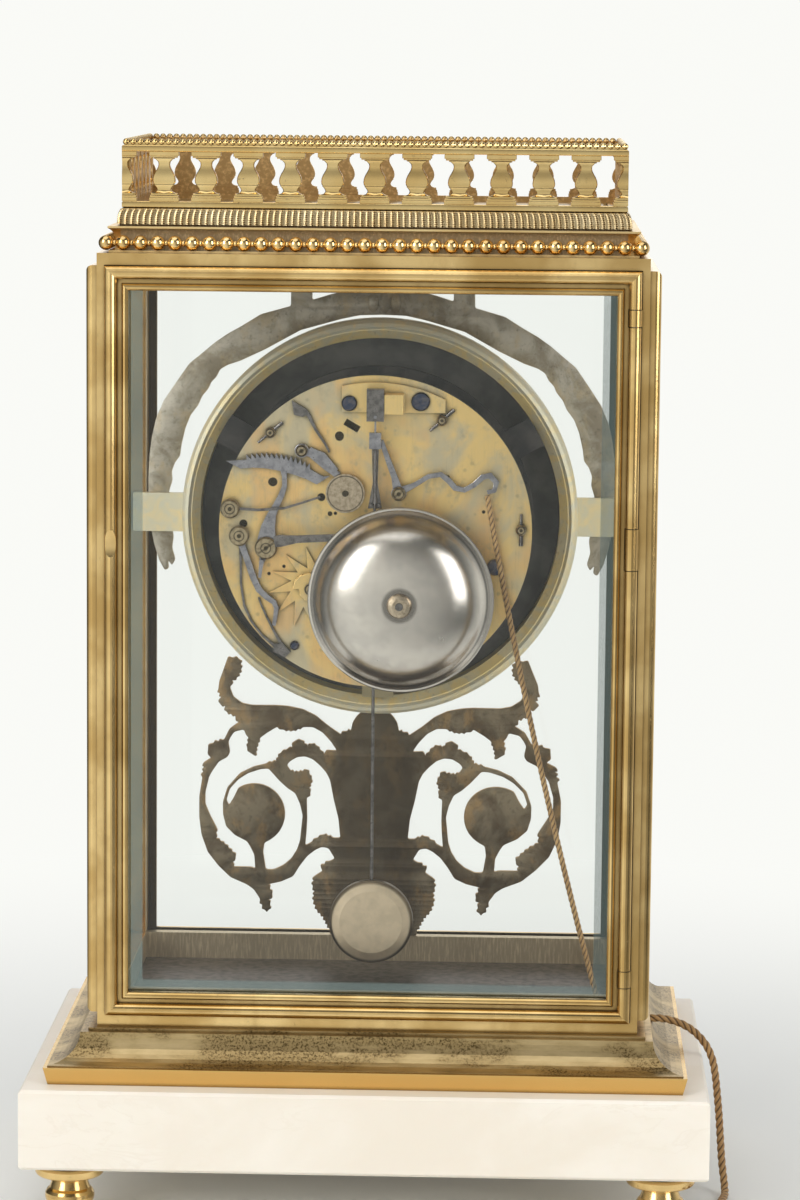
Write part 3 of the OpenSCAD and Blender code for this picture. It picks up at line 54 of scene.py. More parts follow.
# Half sizes of a door glass's flat, inside its bevel, about the door's middle
GLASS_FLAT_X, GLASS_FLAT_Z = 83.2, 125.3
DOOR_MID_Z = 213.3
REAR_GLASS_Y = 50
PLINTH_EDGE_Z = 58.9
DIAL_Z = 251
DIAL_FACE = -46.4
DRUM_R = 59.8
RING_RIM_R = 72.6
PLATE_Y = 12
BOB_Z = 104
BELL_X, BELL_Z = -10.2, 227.2
BELL_Y, BELL_R, BELL_H = 25, 34, 17
Z_TOP = 356.3
Z_REED = 365.8
Z_GALLERY = 372.5
BEAD_LINE, BEAD_Z = 96.9, 359.9
BEAD_R, COLLAR_R, SMALL_BEAD_R = 2.75, 1.05, 1.28
REED_OUT, REED_FOOT, REED_BACK = 93.2, 91, 86
GALLERY_OUT = 91.7
PANEL_T = 3
RAIL_H = 2.2
BALUSTER_H = 18
ORNAMENT_BACK = -46.9
ORNAMENT_T = 2.3
SCROLL_MID = 1.7


def placed(name, data):
    """Puts data into the scene as an object."""
    obj = bpy.data.objects.new(name, data)
    bpy.context.scene.collection.objects.link(obj)
    return obj


# Camera


def set_camera():
    """The photograph's standpoint: behind the clock, a little above its middle."""
    yaw, pitch, roll = (math.radians(a) for a in (-1.7915, 7.8378, -0.5437))
    ahead = Vector((-math.sin(yaw) * math.cos(pitch), -math.cos(yaw) * math.cos(pitch), -math.sin(pitch)))
    right = Vector((-math.cos(yaw), math.sin(yaw), 0))
    down = ahead.cross(right)
    turned_right = math.cos(roll) * right + math.sin(roll) * down
    turned_down = -math.sin(roll) * right + math.cos(roll) * down
    data = bpy.data.cameras.new("studio_camera")
    data.sensor_width = 36
    data.lens = 119.4
    data.clip_start, data.clip_end = 0.05, 30
    camera = placed("studio_camera", data)
    axes = Matrix((turned_right, -turned_down, -ahead)).transposed().to_4x4()
    camera.matrix_world = Matrix.Translation((-0.0558, 1.49172, 0.42913)) @ axes
    bpy.context.scene.camera = camera


# Shader sums


def between_two(operation, swapped=False):
    """A Value's operator that adds one Math node on itself and another value."""
    def operator(self, other):
        return self.sum(operation, other, self) if swapped else self.sum(operation, self, other)
    return operator


class Value:
    """A node's output. Sums on it add Math nodes to the same tree."""

    __add__ = __radd__ = between_two("ADD")
    __mul__ = __rmul__ = between_two("MULTIPLY")
    __sub__, __rsub__ = between_two("SUBTRACT"), between_two("SUBTRACT", True)
    __truediv__, __pow__ = between_two("DIVIDE"), between_two("POWER")
    low, high = between_two("MINIMUM"), between_two("MAXIMUM")

    def __init__(self, owner, out):
        self.owner, self.out = owner, out

    def sum(self, operation, *terms):
        return self.owner.node("Math", {"operation": operation}, dict(enumerate(terms)))

    def size(self):
        return self.sum("ABSOLUTE", self)

    def between(self, low, high, soft=0.2):
        """1 from low to high, fading out past both."""
        return self.step(low - soft, low) * self.step(high + soft, high)

    def step(self, start, end, to_low=0.0, to_high=1.0):
        """Runs smoothly from to_low at start to to_high at end."""
        low, high, a, b = (start, end, to_low, to_high) if start < end else (end, start, to_high, to_low)
        return self.owner.node("MapRange", {"interpolation_type": "SMOOTHSTEP"}, {
            "Value": self, "From Min": low, "From Max": high, "To Min": a, "To Max": b})


class Nodes:
    """Adds nodes to a tree and links them."""

    def __init__(self, tree):
        self.tree = tree

    def put(self, socket, value):
        if isinstance(value, Value):
            self.tree.links.new(value.out, socket)
        elif hasattr(value, "__len__") and socket.type == "RGBA":
            socket.default_value = (*value[:3], 1)
        else:
            socket.default_value = value

    def node(self, kind, settings=None, sockets=None, out=0):
        made = self.tree.nodes.new("ShaderNode" + kind)
        for key, value in (settings or {}).items():
            setattr(made, key, value)
        for key, value in (sockets or {}).items():
            self.put(made.inputs[key], value)
        return Value(self, made.outputs[out])

    def mix(self, mask, first, second):
        return self.node("MixRGB", {"blend_type": "MIX"}, {"Fac": mask, "Color1": first, "Color2": second})

    def shown(self):
        """1 for the rays that show the background: seen, mirrored or let through."""
        ray = [self.node("LightPath", out=name) for name in (
            "Is Camera Ray", "Is Glossy Ray", "Is Transmission Ray")]
        return ray[0].high(ray[1]).high(ray[2])

    def surface(self, value, output="Material Output"):
        self.tree.links.new(value.out, self.tree.nodes[output].inputs["Surface"])


class Finish(Nodes):
    """A material with one principled shader."""

    def __init__(self, name, **sockets):
        self.material = bpy.data.materials.new(name)
        self.material.use_nodes = True
        super().__init__(self.material.node_tree)
        self.shader = self.tree.nodes["Principled BSDF"]
        self.set(**sockets)

    def set(self, **sockets):
        for socket, value in sockets.items():
            self.put(self.shader.inputs[socket.replace("_", " ")], value)
        return self

    def place(self):
        """Object coordinates in millimetres."""
        where = self.node("TexCoord", out="Object")
        return self.node("VectorMath", {"operation": "SCALE"}, {0: where, "Scale": 1000.0})

    def axes(self):
        where = self.place()
        return [self.node("SeparateXYZ", None, {0: where}, out=i) for i in range(3)]

    def mapped(self, grain, stretch, shift):
        """Object coordinates counted in grains, shifted to another part of a pattern."""
        return self.node("Mapping", None, {
            "Vector": self.place(), "Location": shift, "Scale": [1.0 / (grain * s) for s in stretch]})

    def clouds(self, grain, detail=4.0, rough=0.55, seed=0.0, stretch=(1, 1, 1), twist=0.0):
        """Noise whose lumps are about grain millimetres across."""
        return self.node("TexNoise", {"noise_dimensions": "3D"}, {
            "Vector": self.mapped(grain, stretch, (seed, seed * 0.7, seed * 1.3)),
            "Scale": 1.0, "Detail": detail, "Roughness": rough, "Distortion": twist})

    def cells(self, grain, seed):
        """Distance to the nearest of points strewn about grain millimetres apart."""
        return self.node("TexVoronoi", {"feature": "F1"}, {
            "Vector": self.mapped(grain, (1, 1, 1), (seed, seed, seed)), "Scale": 1.0})

    def nearest(self, centres):
        """Distance, seen along the plates' axis, to the nearest of some (x, z) centres."""
        x, _, z = self.axes()
        gaps = [(((x - cx) * (x - cx)) + ((z - cz) * (z - cz))) ** 0.5 for cx, cz in centres]
        best = gaps[0]
        for gap in gaps[1:]:
            best = best.low(gap)
        return best

    def inside(self):
        """1 on what faces the room between the glasses."""
        x, y, _ = self.axes()
        return x.size().step(ROOM_HALF_W + 0.3, ROOM_HALF_W) * y.size().step(ROOM_HALF_D + 0.5, ROOM_HALF_D)

    def painted_hollow_shade(self, reach, deep, bare):
        """Painted shade: 1 deep in hollows and corners, falling to 0 in the open. Reach is in millimetres."""
        light = self.node("AmbientOcclusion", {"samples": 6, "only_local": False}, {"Distance": reach * MM}, out="AO")
        return 1 - light.step(deep, bare)

    def relief(self, height, depth, strength=1.0):
        return self.node("Bump", None, {"Strength": strength, "Distance": depth * MM, "Height": height})

    def over_clear(self, share, tint):
        """Shows the principled shader by share and lets the rest of the light straight through."""
        clear = self.node("BsdfTransparent", None, {"Color": tint})
        self.surface(self.node("MixShader", None, {0: share, 1: clear, 2: Value(self, self.shader.outputs[0])}))
        return self


def wear(finish, names):
    """Gives CAD nodes a finish."""
    for name in names.split():
        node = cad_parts[name]
        node.data.materials.clear()
        node.data.materials.append(finish.material)


# Finishes


def aged_gilt(name, bright=(0.98, 0.71, 0.32), deep=(0.66, 0.43, 0.155), shade_and_wear_colour=(0.075, 0.042, 0.014), reach=2.4,
              backs=False, rough=0.12):
    """Fire gilding, burnished, with small worn dots and painted shade darkening its hollows and corners.

    It is dull where it faces the room between the glasses or, with backs, behind the gallery's front.
    """
    f = Finish(name, Metallic=1.0)
    soft = f.clouds(26, 3, 0.5, 3)
    grain = f.clouds(1.6, 5, 0.7, 11)
    drift = f.clouds(9, 4, 0.6, 7, (1, 1, 2.5))
    # painted shade from the hollows and corners, joined with small worn dots that are real wear
    shade_and_worn_dots = f.painted_hollow_shade(reach, 0.3, 0.8)
    shade_and_worn_dots = shade_and_worn_dots.high(grain.step(0.60, 0.72) * drift.step(0.42, 0.6) * 0.6)
    body = f.mix(soft.step(0.35, 0.68), deep, bright)
    body = f.mix(drift.step(0.45, 0.75) * 0.5, body, deep)
    body = f.mix(shade_and_worn_dots, body, shade_and_wear_colour)
    dull = (f.clouds(1.4, 4, 0.6, 52) if backs else f.clouds(0.7, 4, 0.6, 52, (1, 1, 8))).step(0.45, 0.72)
    if backs:
        x, y, _ = f.axes()
        hidden = (GALLERY_OUT - x.size()).low(GALLERY_OUT - NARROWER - y.size()).step(2.0, 2.7)
        body = f.mix(hidden, body, f.mix(dull, (0.52, 0.34, 0.15), (0.80, 0.56, 0.27)))
    else:
        hidden = f.inside()
        body = f.mix(hidden, body, f.mix(dull, (0.58, 0.47, 0.31), (0.82, 0.69, 0.48)))
    f.set(Base_Color=body, Roughness=rough + 0.14 * drift + 0.25 * shade_and_worn_dots.high(hidden))
    f.set(Normal=f.relief(grain, 0.025, 0.4))
    return f


def matt_gilt():
    """Matted gilding, with dark specks, painted shade in its hollows, and burnished on the plinth's lowest face."""
    f = Finish("matt_gilt", Metallic=1.0)
    speck = f.clouds(0.9, 5, 0.75, 5)
    cloud = f.clouds(16, 5, 0.62, 21, (2.2, 1, 0.7))
    smooth = f.axes()[2].step(PLINTH_EDGE_Z, PLINTH_EDGE_Z - 0.5)
    dark = speck.step(0.46, 0.6) * cloud.step(0.44, 0.58) * 0.9
    body = f.mix(cloud.step(0.32, 0.58), (0.68, 0.52, 0.27), (0.46, 0.33, 0.15))
    body = f.mix(dark, body, (0.08, 0.05, 0.02))
    bright = f.mix(speck.step(0.66, 0.76) * cloud.step(0.4, 0.6), (0.80, 0.53, 0.19), (0.22, 0.13, 0.04))
    body = f.mix(smooth, body, bright)
    # painted shade in hollows and corners
    f.set(Base_Color=f.mix(f.painted_hollow_shade(2.5, 0.2, 0.75), body, (0.12, 0.07, 0.025)))
    f.set(Roughness=0.27 + 0.16 * speck - 0.16 * smooth)
    f.set(Normal=f.relief(speck * (1 - smooth), 0.05, 0.7))
    return f


def reed_gilt():
    """Gilding of the reeds, with painted shade darkening the nicks and hollows between their crests."""
    f = Finish("reed_gilt", Metallic=1.0)
    cloud = f.clouds(12, 4, 0.6, 24, (1.5, 1.5, 1))
    body = f.mix(cloud.step(0.35, 0.7), (0.80, 0.60, 0.31), (0.92, 0.75, 0.45))
    # painted shade in the nicks between the reeds
    f.set(Base_Color=f.mix(f.painted_hollow_shade(0.8, 0.55, 0.97), body, (0.10, 0.055, 0.02)))
    f.set(Roughness=0.24 + 0.14 * cloud)
    return f


# Oil sinks and small pin openings of the back plate, darkened with painted shade
SINKS = ((13.7, 286.5), (38.8, 269.3), (49.5, 253.5), (20.3, 263.8))
PIN_HOLES = ((17, 257.4), (15, 257.8), (34.2, 237.5), (39.8, 234.7), (-27, 272), (-40.5, 259))


def plate_brass():
    """Yellow brass, brushed upright, with greenish-grey stains, and painted shade in every hole, on what lies deeper
    than its face and in its corners.
    """
    f = Finish("plate_brass", Metallic=1.0)
    brush = f.clouds(0.5, 4, 0.6, 2, (1, 1, 26))
    stain = f.clouds(26, 4, 0.6, 37, (1, 1, 1.4), 0.8)
    warm = f.clouds(18, 3, 0.5, 71, (1, 1, 1.6))
    small = f.clouds(5, 5, 0.7, 17, (1, 1, 1.2))
    spots = f.cells(7, 4).step(0.16, 0.05)
    body = f.mix(stain.step(0.40, 0.60), (0.98, 0.71, 0.30), (0.70, 0.60, 0.40))
    body = f.mix(warm.step(0.50, 0.66) * 0.7, body, (0.95, 0.60, 0.25))
    body = f.mix(small.step(0.5, 0.75) * 0.5, body, (0.46, 0.40, 0.27))
    body = f.mix(brush.step(0.5, 0.8) * 0.25, body, (0.50, 0.40, 0.22))
    body = f.mix(spots * 0.35, body, (0.28, 0.24, 0.16))
    y = f.axes()[1]
    # painted shade: near-black in the oil sinks and pin openings, and on all that lies deeper than the plate's face,
    # such as hole walls and the plate's edge
    shade_in_holes = f.nearest(SINKS).step(1.7, 1.3).high(f.nearest(PIN_HOLES).step(0.8, 0.5))
    shade_in_holes = (shade_in_holes * y.step(PLATE_Y - 1, PLATE_Y - 0.8)).high(y.step(PLATE_Y - 0.5, PLATE_Y - 0.8))
    body = f.mix(shade_in_holes, body, (0.04, 0.032, 0.022))
    # painted shade in hollows and corners
    f.set(Base_Color=f.mix(f.painted_hollow_shade(2.6, 0.25, 0.9) * 0.85, body, (0.10, 0.075, 0.04)))
    f.set(Roughness=0.3 + 0.16 * small + 0.1 * brush)
    f.set(Normal=f.relief(brush, 0.02, 0.5))
    return f


# Centres of the studs' heads, the pillars' ends and the gathering disc
STUDS = ((40.8, 244.7), (27.7, 281.4), (24, 229.5), (-8.8, 265.9), (54.4, 259.3), (50.8, 249.3))
PILLARS = ((39.5, 288), (-24.6, 293.3), (-54.6, 252.5))
GATHER = ((11.2, 265.7),)


def small_brass(name, centres, bright, deep, ring_at, core):
    """Brass of small turned pieces, browned, with a dark core, a dark turned line and painted shade in their corners.
    """
    f = Finish(name, Metallic=1.0)
    grain = f.clouds(1.5, 4, 0.65, 29)
    gap = f.nearest(centres)
    body = f.mix(grain.step(0.38, 0.66), bright, deep)
    line = gap.between(ring_at, ring_at + 0.3, 0.15) * 0.75
    body = f.mix(line.high(gap.step(core + 0.2, core) * 0.9), body, (0.05, 0.04, 0.025))
    # painted shade in hollows and corners
    f.set(Base_Color=f.mix(f.painted_hollow_shade(1.2, 0.3, 0.9) * 0.85, body, (0.06, 0.045, 0.025)))
    f.set(Roughness=0.24 + 0.2 * grain, Normal=f.relief(grain, 0.03, 0.5))
    return f


def ring_brass():
    """Drum ring: pale at its rim, mottled yellow on its inner cone."""
    f = Finish("ring_brass", Metallic=0.4)
    rim = f.nearest([(0, DIAL_Z)]).step(RING_RIM_R, RING_RIM_R + 0.8)
    blotch = f.clouds(7, 5, 0.68, 13, twist=0.8)
    fine = f.clouds(1.6, 4, 0.7, 6)
    inner = f.mix(blotch.step(0.4, 0.62), (1.0, 0.77, 0.33), (0.87, 0.75, 0.48))
    inner = f.mix(fine.step(0.55, 0.75) * 0.5, inner, (0.46, 0.33, 0.13))
    outer = f.mix(blotch.step(0.35, 0.6), (0.97, 0.81, 0.47), (0.82, 0.77, 0.59))
    f.set(Base_Color=f.mix(rim, inner, outer), Roughness=0.42 + 0.2 * blotch)
    f.set(Normal=f.relief(fine, 0.03, 0.6))
    return f


def drum_painted_shade():
    """Brown-black painted shade on what lies deep in the drum, with bare brass on the lug below it."""
    f = Finish("drum_painted_shade", Metallic=0.6)
    cloud = f.clouds(10, 5, 0.65, 47)
    lug = f.axes()[2].step(DIAL_Z - DRUM_R, DIAL_Z - DRUM_R - 0.6)
    # painted shade: the brass plate made near-black where it sits deep in the drum
    body = f.mix(cloud.step(0.35, 0.7), (0.055, 0.052, 0.052), (0.12, 0.108, 0.098))
    f.set(Base_Color=f.mix(lug, body, (0.40, 0.33, 0.19)), Roughness=0.4 + 0.2 * cloud)
    return f


def cast_bronze(name, dark, light, warm, edge, middle=0.0):
    """Backs of the castings: mottled and pitted, worn lighter along their rims."""
    f = Finish(name, Metallic=0.8)
    patch = f.clouds(13, 5, 0.62, 9, twist=0.5)
    fine = f.clouds(2.0, 6, 0.75, 14)
    drift = f.clouds(8, 4, 0.6, 41, (1, 1, 1.5))
    body = f.mix(patch.step(0.36, 0.64), dark, light)
    body = f.mix(drift.step(0.5, 0.66) * 0.6, body, warm)
    if middle:
        column = (f.axes()[0] - SCROLL_MID).size().step(20, 12) * middle
        body = f.mix(column, body, [c * 0.55 for c in dark])
    rim = f.node("Attribute", {"attribute_name": "rim"}, out="Fac")
    body = f.mix(rim.step(0.1, 0.9) * drift.step(0.15, 0.45) * 0.9, body, edge)
    body = f.mix(fine.step(0.52, 0.72) * 0.55, body, [c * 0.4 for c in dark])
    f.set(Base_Color=body, Roughness=0.38 + 0.25 * fine)
    f.set(Normal=f.relief(fine, 0.15, 0.9))
    return f


def worked_steel(name, light, dark, rough):
    """Polished steel, lilac-grey or nearly black, with small spots and painted shade in its corners."""
    f = Finish(name, Metallic=1.0)
    grain = f.clouds(3, 5, 0.7, 8)
    spot = f.clouds(1.1, 3, 0.6, 18)
    body = f.mix(grain.step(0.4, 0.65), light, dark)
    body = f.mix(spot.step(0.60, 0.72) * 0.6, body, [c * 0.4 for c in dark])
    # painted shade in hollows and corners
    body = f.mix(f.painted_hollow_shade(0.9, 0.35, 0.9) * 0.8, body, (0.05, 0.045, 0.045))
    f.set(Base_Color=body, Roughness=rough + 0.2 * grain)
    f.set(Normal=f.relief(spot, 0.02, 0.5))
    return f


def blued_steel():
    f = Finish("blued_steel", Metallic=1.0)
    cloud = f.clouds(2.5, 4, 0.6, 12)
    f.set(Base_Color=f.mix(cloud.step(0.4, 0.62), (0.06, 0.075, 0.13), (0.16, 0.15, 0.17)))
    f.set(Roughness=0.22 + 0.18 * cloud)
    return f


def bell_metal():
    """Silvered bell, polished, slightly clouded, dark about its nut and in a fine line at its rim."""
    f = Finish("bell_metal", Metallic=1.0)
    radius = f.nearest([(BELL_X, BELL_Z)])
    cloud = f.clouds(9, 5, 0.6, 23)
    stain = (radius.step(7.2, 5.6) * 0.8).high(radius.between(32.0, 32.4, 0.3) * 0.5)
    body = f.mix(cloud.step(0.35, 0.7), (0.77, 0.705, 0.635), (0.66, 0.61, 0.555))
    f.set(Base_Color=f.mix(stain, body, (0.16, 0.14, 0.12)), Roughness=0.19 + 0.12 * cloud)
    f.set(Normal=f.relief(f.clouds(3, 3, 0.5, 19), 0.006, 0.3))
    return f


def bob_nickel():
    """Warm satin nickel with a darker turned edge."""
    f = Finish("bob_nickel", Metallic=1.0)
    radius = f.nearest([(0, BOB_Z)])
    cloud = f.clouds(6, 5, 0.65, 3)
    fine = f.clouds(0.8, 3, 0.6, 27)
    body = f.mix(cloud.step(0.4, 0.65), (0.76, 0.62, 0.44), (0.66, 0.54, 0.38))
    f.set(Base_Color=f.mix(radius.step(14.0, 15.4), body, (0.22, 0.17, 0.11)))
    f.set(Roughness=0.34 + 0.12 * fine)
    f.set(Normal=f.relief(fine, 0.01, 0.4))
    return f


def enamel():
    """White enamel on the dial's front, near-black on its back."""
    f = Finish("enamel", Specular_IOR_Level=0.5)
    back = f.axes()[1].step(DIAL_FACE + 0.3, DIAL_FACE + 0.5)
    cloud = f.clouds(14, 5, 0.6, 33)
    dark = f.mix(cloud.step(0.35, 0.7), (0.085, 0.08, 0.075), (0.17, 0.16, 0.145))
    f.set(Base_Color=f.mix(back, (0.86, 0.85, 0.80), dark), Roughness=back * 0.35 + 0.16)
    return f


def black_ink():
    f = Finish("dial_ink", Specular_IOR_Level=0.4)
    fade = f.clouds(4, 3, 0.5, 61)
    f.set(Base_Color=f.mix(fade.step(0.4, 0.7), (0.012, 0.012, 0.014), (0.03, 0.028, 0.028)))
    f.set(Roughness=0.2 + 0.1 * fade)
    return f


def marble():
    """Cream marble, honed, with faint veins and soft brown specks."""
    f = Finish("marble")
    wide = f.clouds(60, 5, 0.55, 6, (1.4, 1, 0.8), 0.8)
    vein = f.clouds(34, 6, 0.6, 44, (1.6, 1, 0.7), 1.2)
    thin = (vein - 0.5).size().step(0.02, 0.0) * wide.step(0.45, 0.62)
    speck = f.clouds(3.4, 4, 0.7, 16).step(0.70, 0.78)
    body = f.mix(wide.step(0.35, 0.7), (0.87, 0.79, 0.67), (0.93, 0.87, 0.77))
    body = f.mix(thin * 0.14, body, (0.66, 0.55, 0.40))
    f.set(Base_Color=f.mix(speck * 0.35, body, (0.55, 0.44, 0.30)), Roughness=0.34 + 0.12 * wide)
    f.set(Subsurface_Weight=0.08, Subsurface_Radius=(0.006, 0.004, 0.003), Subsurface_Scale=0.5)
    return f


def clear_glass():
    """Thin plate glass: a faint mirror, strongest at a glancing angle, its bevels grey in the rear door."""
    f = Finish("clear_glass", Metallic=1.0)
    film = f.clouds(60, 3, 0.5, 2)
    x, y, z = f.axes()
    bevel = x.size().step(GLASS_FLAT_X, GLASS_FLAT_X + 0.4)
    bevel = bevel.high((DOOR_MID_Z - z).step(GLASS_FLAT_Z, GLASS_FLAT_Z + 0.4))
    bevel = bevel * y.step(REAR_GLASS_Y, REAR_GLASS_Y + 0.5)
    body = f.mix(film.step(0.3, 0.7), (0.78, 0.83, 0.81), (0.86, 0.89, 0.87))
    f.set(Base_Color=f.mix(bevel, body, (0.32, 0.41, 0.40)), Roughness=0.015 + 0.02 * film)
    glance = f.node("LayerWeight", None, {"Blend": 0.5}, out="Facing")
    return f.over_clear((0.03 + 0.85 * glance ** 5).high(bevel * 0.36), (0.99, 0.996, 0.992))


def silk(name, dark, light, gloss):
    """Twisted silk, with painted shade between the strands."""
    f = Finish(name, Sheen_Weight=0.25, Sheen_Roughness=0.4)
    crest = f.node("Attribute", {"attribute_name": "crest"}, out="Fac")
    fibre = f.clouds(0.35, 3, 0.7, 5)
    fade = f.clouds(14, 3, 0.6, 15)
    body = f.mix(fade.step(0.35, 0.7), dark, light)
    body = f.mix(fibre.step(0.4, 0.7) * 0.5, body, gloss)
    # painted shade in the hollows between the strands, where crest is low
    f.set(Base_Color=f.mix(crest.step(0.75, 0.1), body, (0.07, 0.035, 0.012)), Roughness=0.62 + 0.2 * fibre)
    f.set(Normal=f.relief(fibre, 0.05, 0.6))
    return f


# Mesh helpers


def piece(name, body, finish, made, stands_for=(), crease=35):
    """Puts a bmesh, made in millimetres, into the scene as a piece of a CAD body."""
    bmesh.ops.remove_doubles(made, verts=made.verts, dist=0.002)
    bmesh.ops.recalc_face_normals(made, faces=made.faces)
    bmesh.ops.scale(made, vec=(MM, MM, MM), verts=made.verts)
    mesh = bpy.data.meshes.new(name)
    made.to_mesh(mesh)
    made.free()
    mesh.shade_smooth()
    mesh.set_sharp_from_angle(angle=math.radians(crease))
    mesh.materials.append(finish.material)
    obj = placed(name, mesh)
    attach(obj, body)
    if stands_for:
        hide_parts(*stands_for)
    return obj


def chain(made, points, closed=False):
    """Vertices joined in a line, as spin and extrude take them."""
    verts = [made.verts.new(p) for p in points]
    ends = verts[1:] + (verts[:1] if closed else [])
    return verts + [made.edges.new(pair) for pair in zip(verts, ends)]


def spun(made, geom, steps, angle=2 * math.pi, axis=(0, 0, 1)):
    """Turns a line about an axis through the origin."""
    bmesh.ops.spin(made, geom=geom, cent=(0, 0, 0), axis=axis, dvec=(0, 0, 0), angle=angle, steps=steps,
                   use_merge=angle == 2 * math.pi)
    bmesh.ops.remove_doubles(made, verts=made.verts, dist=1e-4)


def turned_flat(profile, middle, steps=64):
    """(radius, y) points turned about an axis that runs from front to back."""
    made = bmesh.new()
    spun(made, chain(made, [(r, y, 0) for r, y in profile], True), steps, axis=(0, 1, 0))
    bmesh.ops.translate(made, vec=(middle[0], 0, middle[1]), verts=made.verts)
    return made


def square_ring(profile):
    """Mitred ring about the case from (half width, height) points, narrower from front to back."""
    made = bmesh.new()
    spun(made, chain(made, [(d, d, z) for d, z in profile], True), 4)
    for v in made.verts:
        v.co.y -= math.copysign(NARROWER, v.co.y)
    return made


def block(made, low, high, edge=0.0):
    low, high = Vector(low), Vector(high)
    new = bmesh.ops.create_cube(made, size=1, matrix=Matrix.LocRotScale((low + high) / 2, None, high - low))["verts"]
    if edge:
        bmesh.ops.bevel(made, geom=list({e for v in new for e in v.link_edges}), offset=edge, offset_type="OFFSET",
                        segments=1, profile=0.5, affect="EDGES", material=-1)


def repeat(made, model, places):
    """Adds a copy of a small model at each place."""
    mesh = bpy.data.meshes.new("model")
    model.to_mesh(mesh)
    for place in places:
        copy = mesh.copy()
        copy.transform(place)
        made.from_mesh(copy)
        bpy.data.meshes.remove(copy)
    bpy.data.meshes.remove(mesh)


def ball(radius, around, rows):
    made = bmesh.new()
    bmesh.ops.create_uvsphere(made, u_segments=around, v_segments=rows, radius=radius)
    return made


def round_the_case(half, height, long_count, short_count, shift=0.0):
    """Places along a line round the case: both corners count for the long sides, none for the short ones."""
    places = []
    half_y = half - NARROWER
    for side in (1, -1):
        for i in range(long_count):
            x = half * (2 * (i + shift) / (long_count - 1) - 1)
            if x < half + 0.01:
                places.append(Matrix.Translation((side * x, side * half_y, height)))
        for i in range(short_count + (shift > 0)):
            y = half_y * (2 * (i + 1 - shift) / (short_count + 1) - 1)
            places.append(Matrix.Translation((side * half, side * y, height)))
    return places


# Spacing of the leaf teeth on the scrollwork's outlines
TOOTH = 2.2


def leafy(outline, spans, lift):
    """Outline with small leaf teeth, leaning along its direction, on the given spans."""
    points = [Vector(p) for p in outline]
    out = []
    for i, (a, b) in enumerate(zip(points, points[1:] + points[:1])):
        out.append(a)
        if i in spans:
            along = b - a
            count = max(1, round(along.length / TOOTH))
            rise = Vector((-along.y, along.x)).normalized() * lift
            for k in range(count):
                out.append(a + along * ((k + 0.7) / count) + rise)
                if k + 1 < count:
                    out.append(a + along * ((k + 1) / count))
    return out


def eased(outline, cut=0.45):
    """Closed (x, z) outline with its corners cut twice, as filing rounds them."""
    points = [Vector(p) for p in outline]
    for shorter in (1, 2):
        out = []
        for before, at, after in zip(points[-1:] + points[:-1], points, points[1:] + points[:1]):
            for other in (before, after):
                gap = max((other - at).length, 1e-6)
                out.append(at.lerp(other, min(0.25, cut / shorter / gap)))
        points = out
    return points


def cast_plate(outlines, back, thick, edge):
    """Flat casting with rounded edges from closed (x, z) outlines."""
    data = bpy.data.curves.new("outline", "CURVE")
    data.dimensions, data.fill_mode = "2D", "BOTH"
    data.extrude, data.bevel_depth, data.offset, data.bevel_resolution = thick / 2 - edge, edge, -edge, 1
    for line in outlines:
        spline = data.splines.new("POLY")
        spline.points.add(len(line) - 1)
        for point, (x, z) in zip(spline.points, line):
            point.co = (x, z, 0, 1)
        spline.use_cyclic_u = True
    flat = bpy.data.objects.new("outline", data)
    mesh = bpy.data.meshes.new_from_object(flat)
    made = bmesh.new()
    made.from_mesh(mesh)
    bpy.data.objects.remove(flat)
    bpy.data.curves.remove(data)
    bpy.data.meshes.remove(mesh)
    bmesh.ops.remove_doubles(made, verts=made.verts, dist=1e-4)
    bmesh.ops.rotate(made, verts=made.verts, cent=(0, 0, 0), matrix=Matrix.Rotation(math.radians(90), 3, "X"))
    bmesh.ops.translate(made, vec=(0, back - thick / 2, 0), verts=made.verts)
    bmesh.ops.recalc_face_normals(made, faces=made.faces)
    rim = made.verts.layers.float.new("rim")
    for v in made.verts:
        v[rim] = 1 if abs(v.co.y - back + thick / 2) < thick / 2 - edge / 2 else 0
    return made


def smooth_curve(points, per_span):
    """Points on a smooth curve through the given ones."""
    p = [Vector(q) for q in points]
    p = [2 * p[0] - p[1], *p, 2 * p[-1] - p[-2]]
    line = []
    for a, b, c, d in zip(p, p[1:], p[2:], p[3:]):
        for i in range(per_span):
            t = i / per_span
            line.append(0.5 * (2 * b + (c - a) * t + (2 * a - 5 * b + 4 * c - d) * t * t
                               + (3 * b - a - 3 * c + d) * t ** 3))
    return [*line, p[-2]]


def evenly(line, step):
    """The same line with points a set distance apart."""
    out, left = [line[0].copy()], step
    for a, b in zip(line, line[1:]):
        length, done = (b - a).length, 0.0
        while length - done >= left:
            done += left
            out.append(a.lerp(b, done / length))
            left = step
        left -= length - done
    if (out[-1] - line[-1]).length > step * 0.3:
        out.append(line[-1].copy())
    return out


def line_length(line):
    return sum((b - a).length for a, b in zip(line, line[1:]))


STRANDS = 3


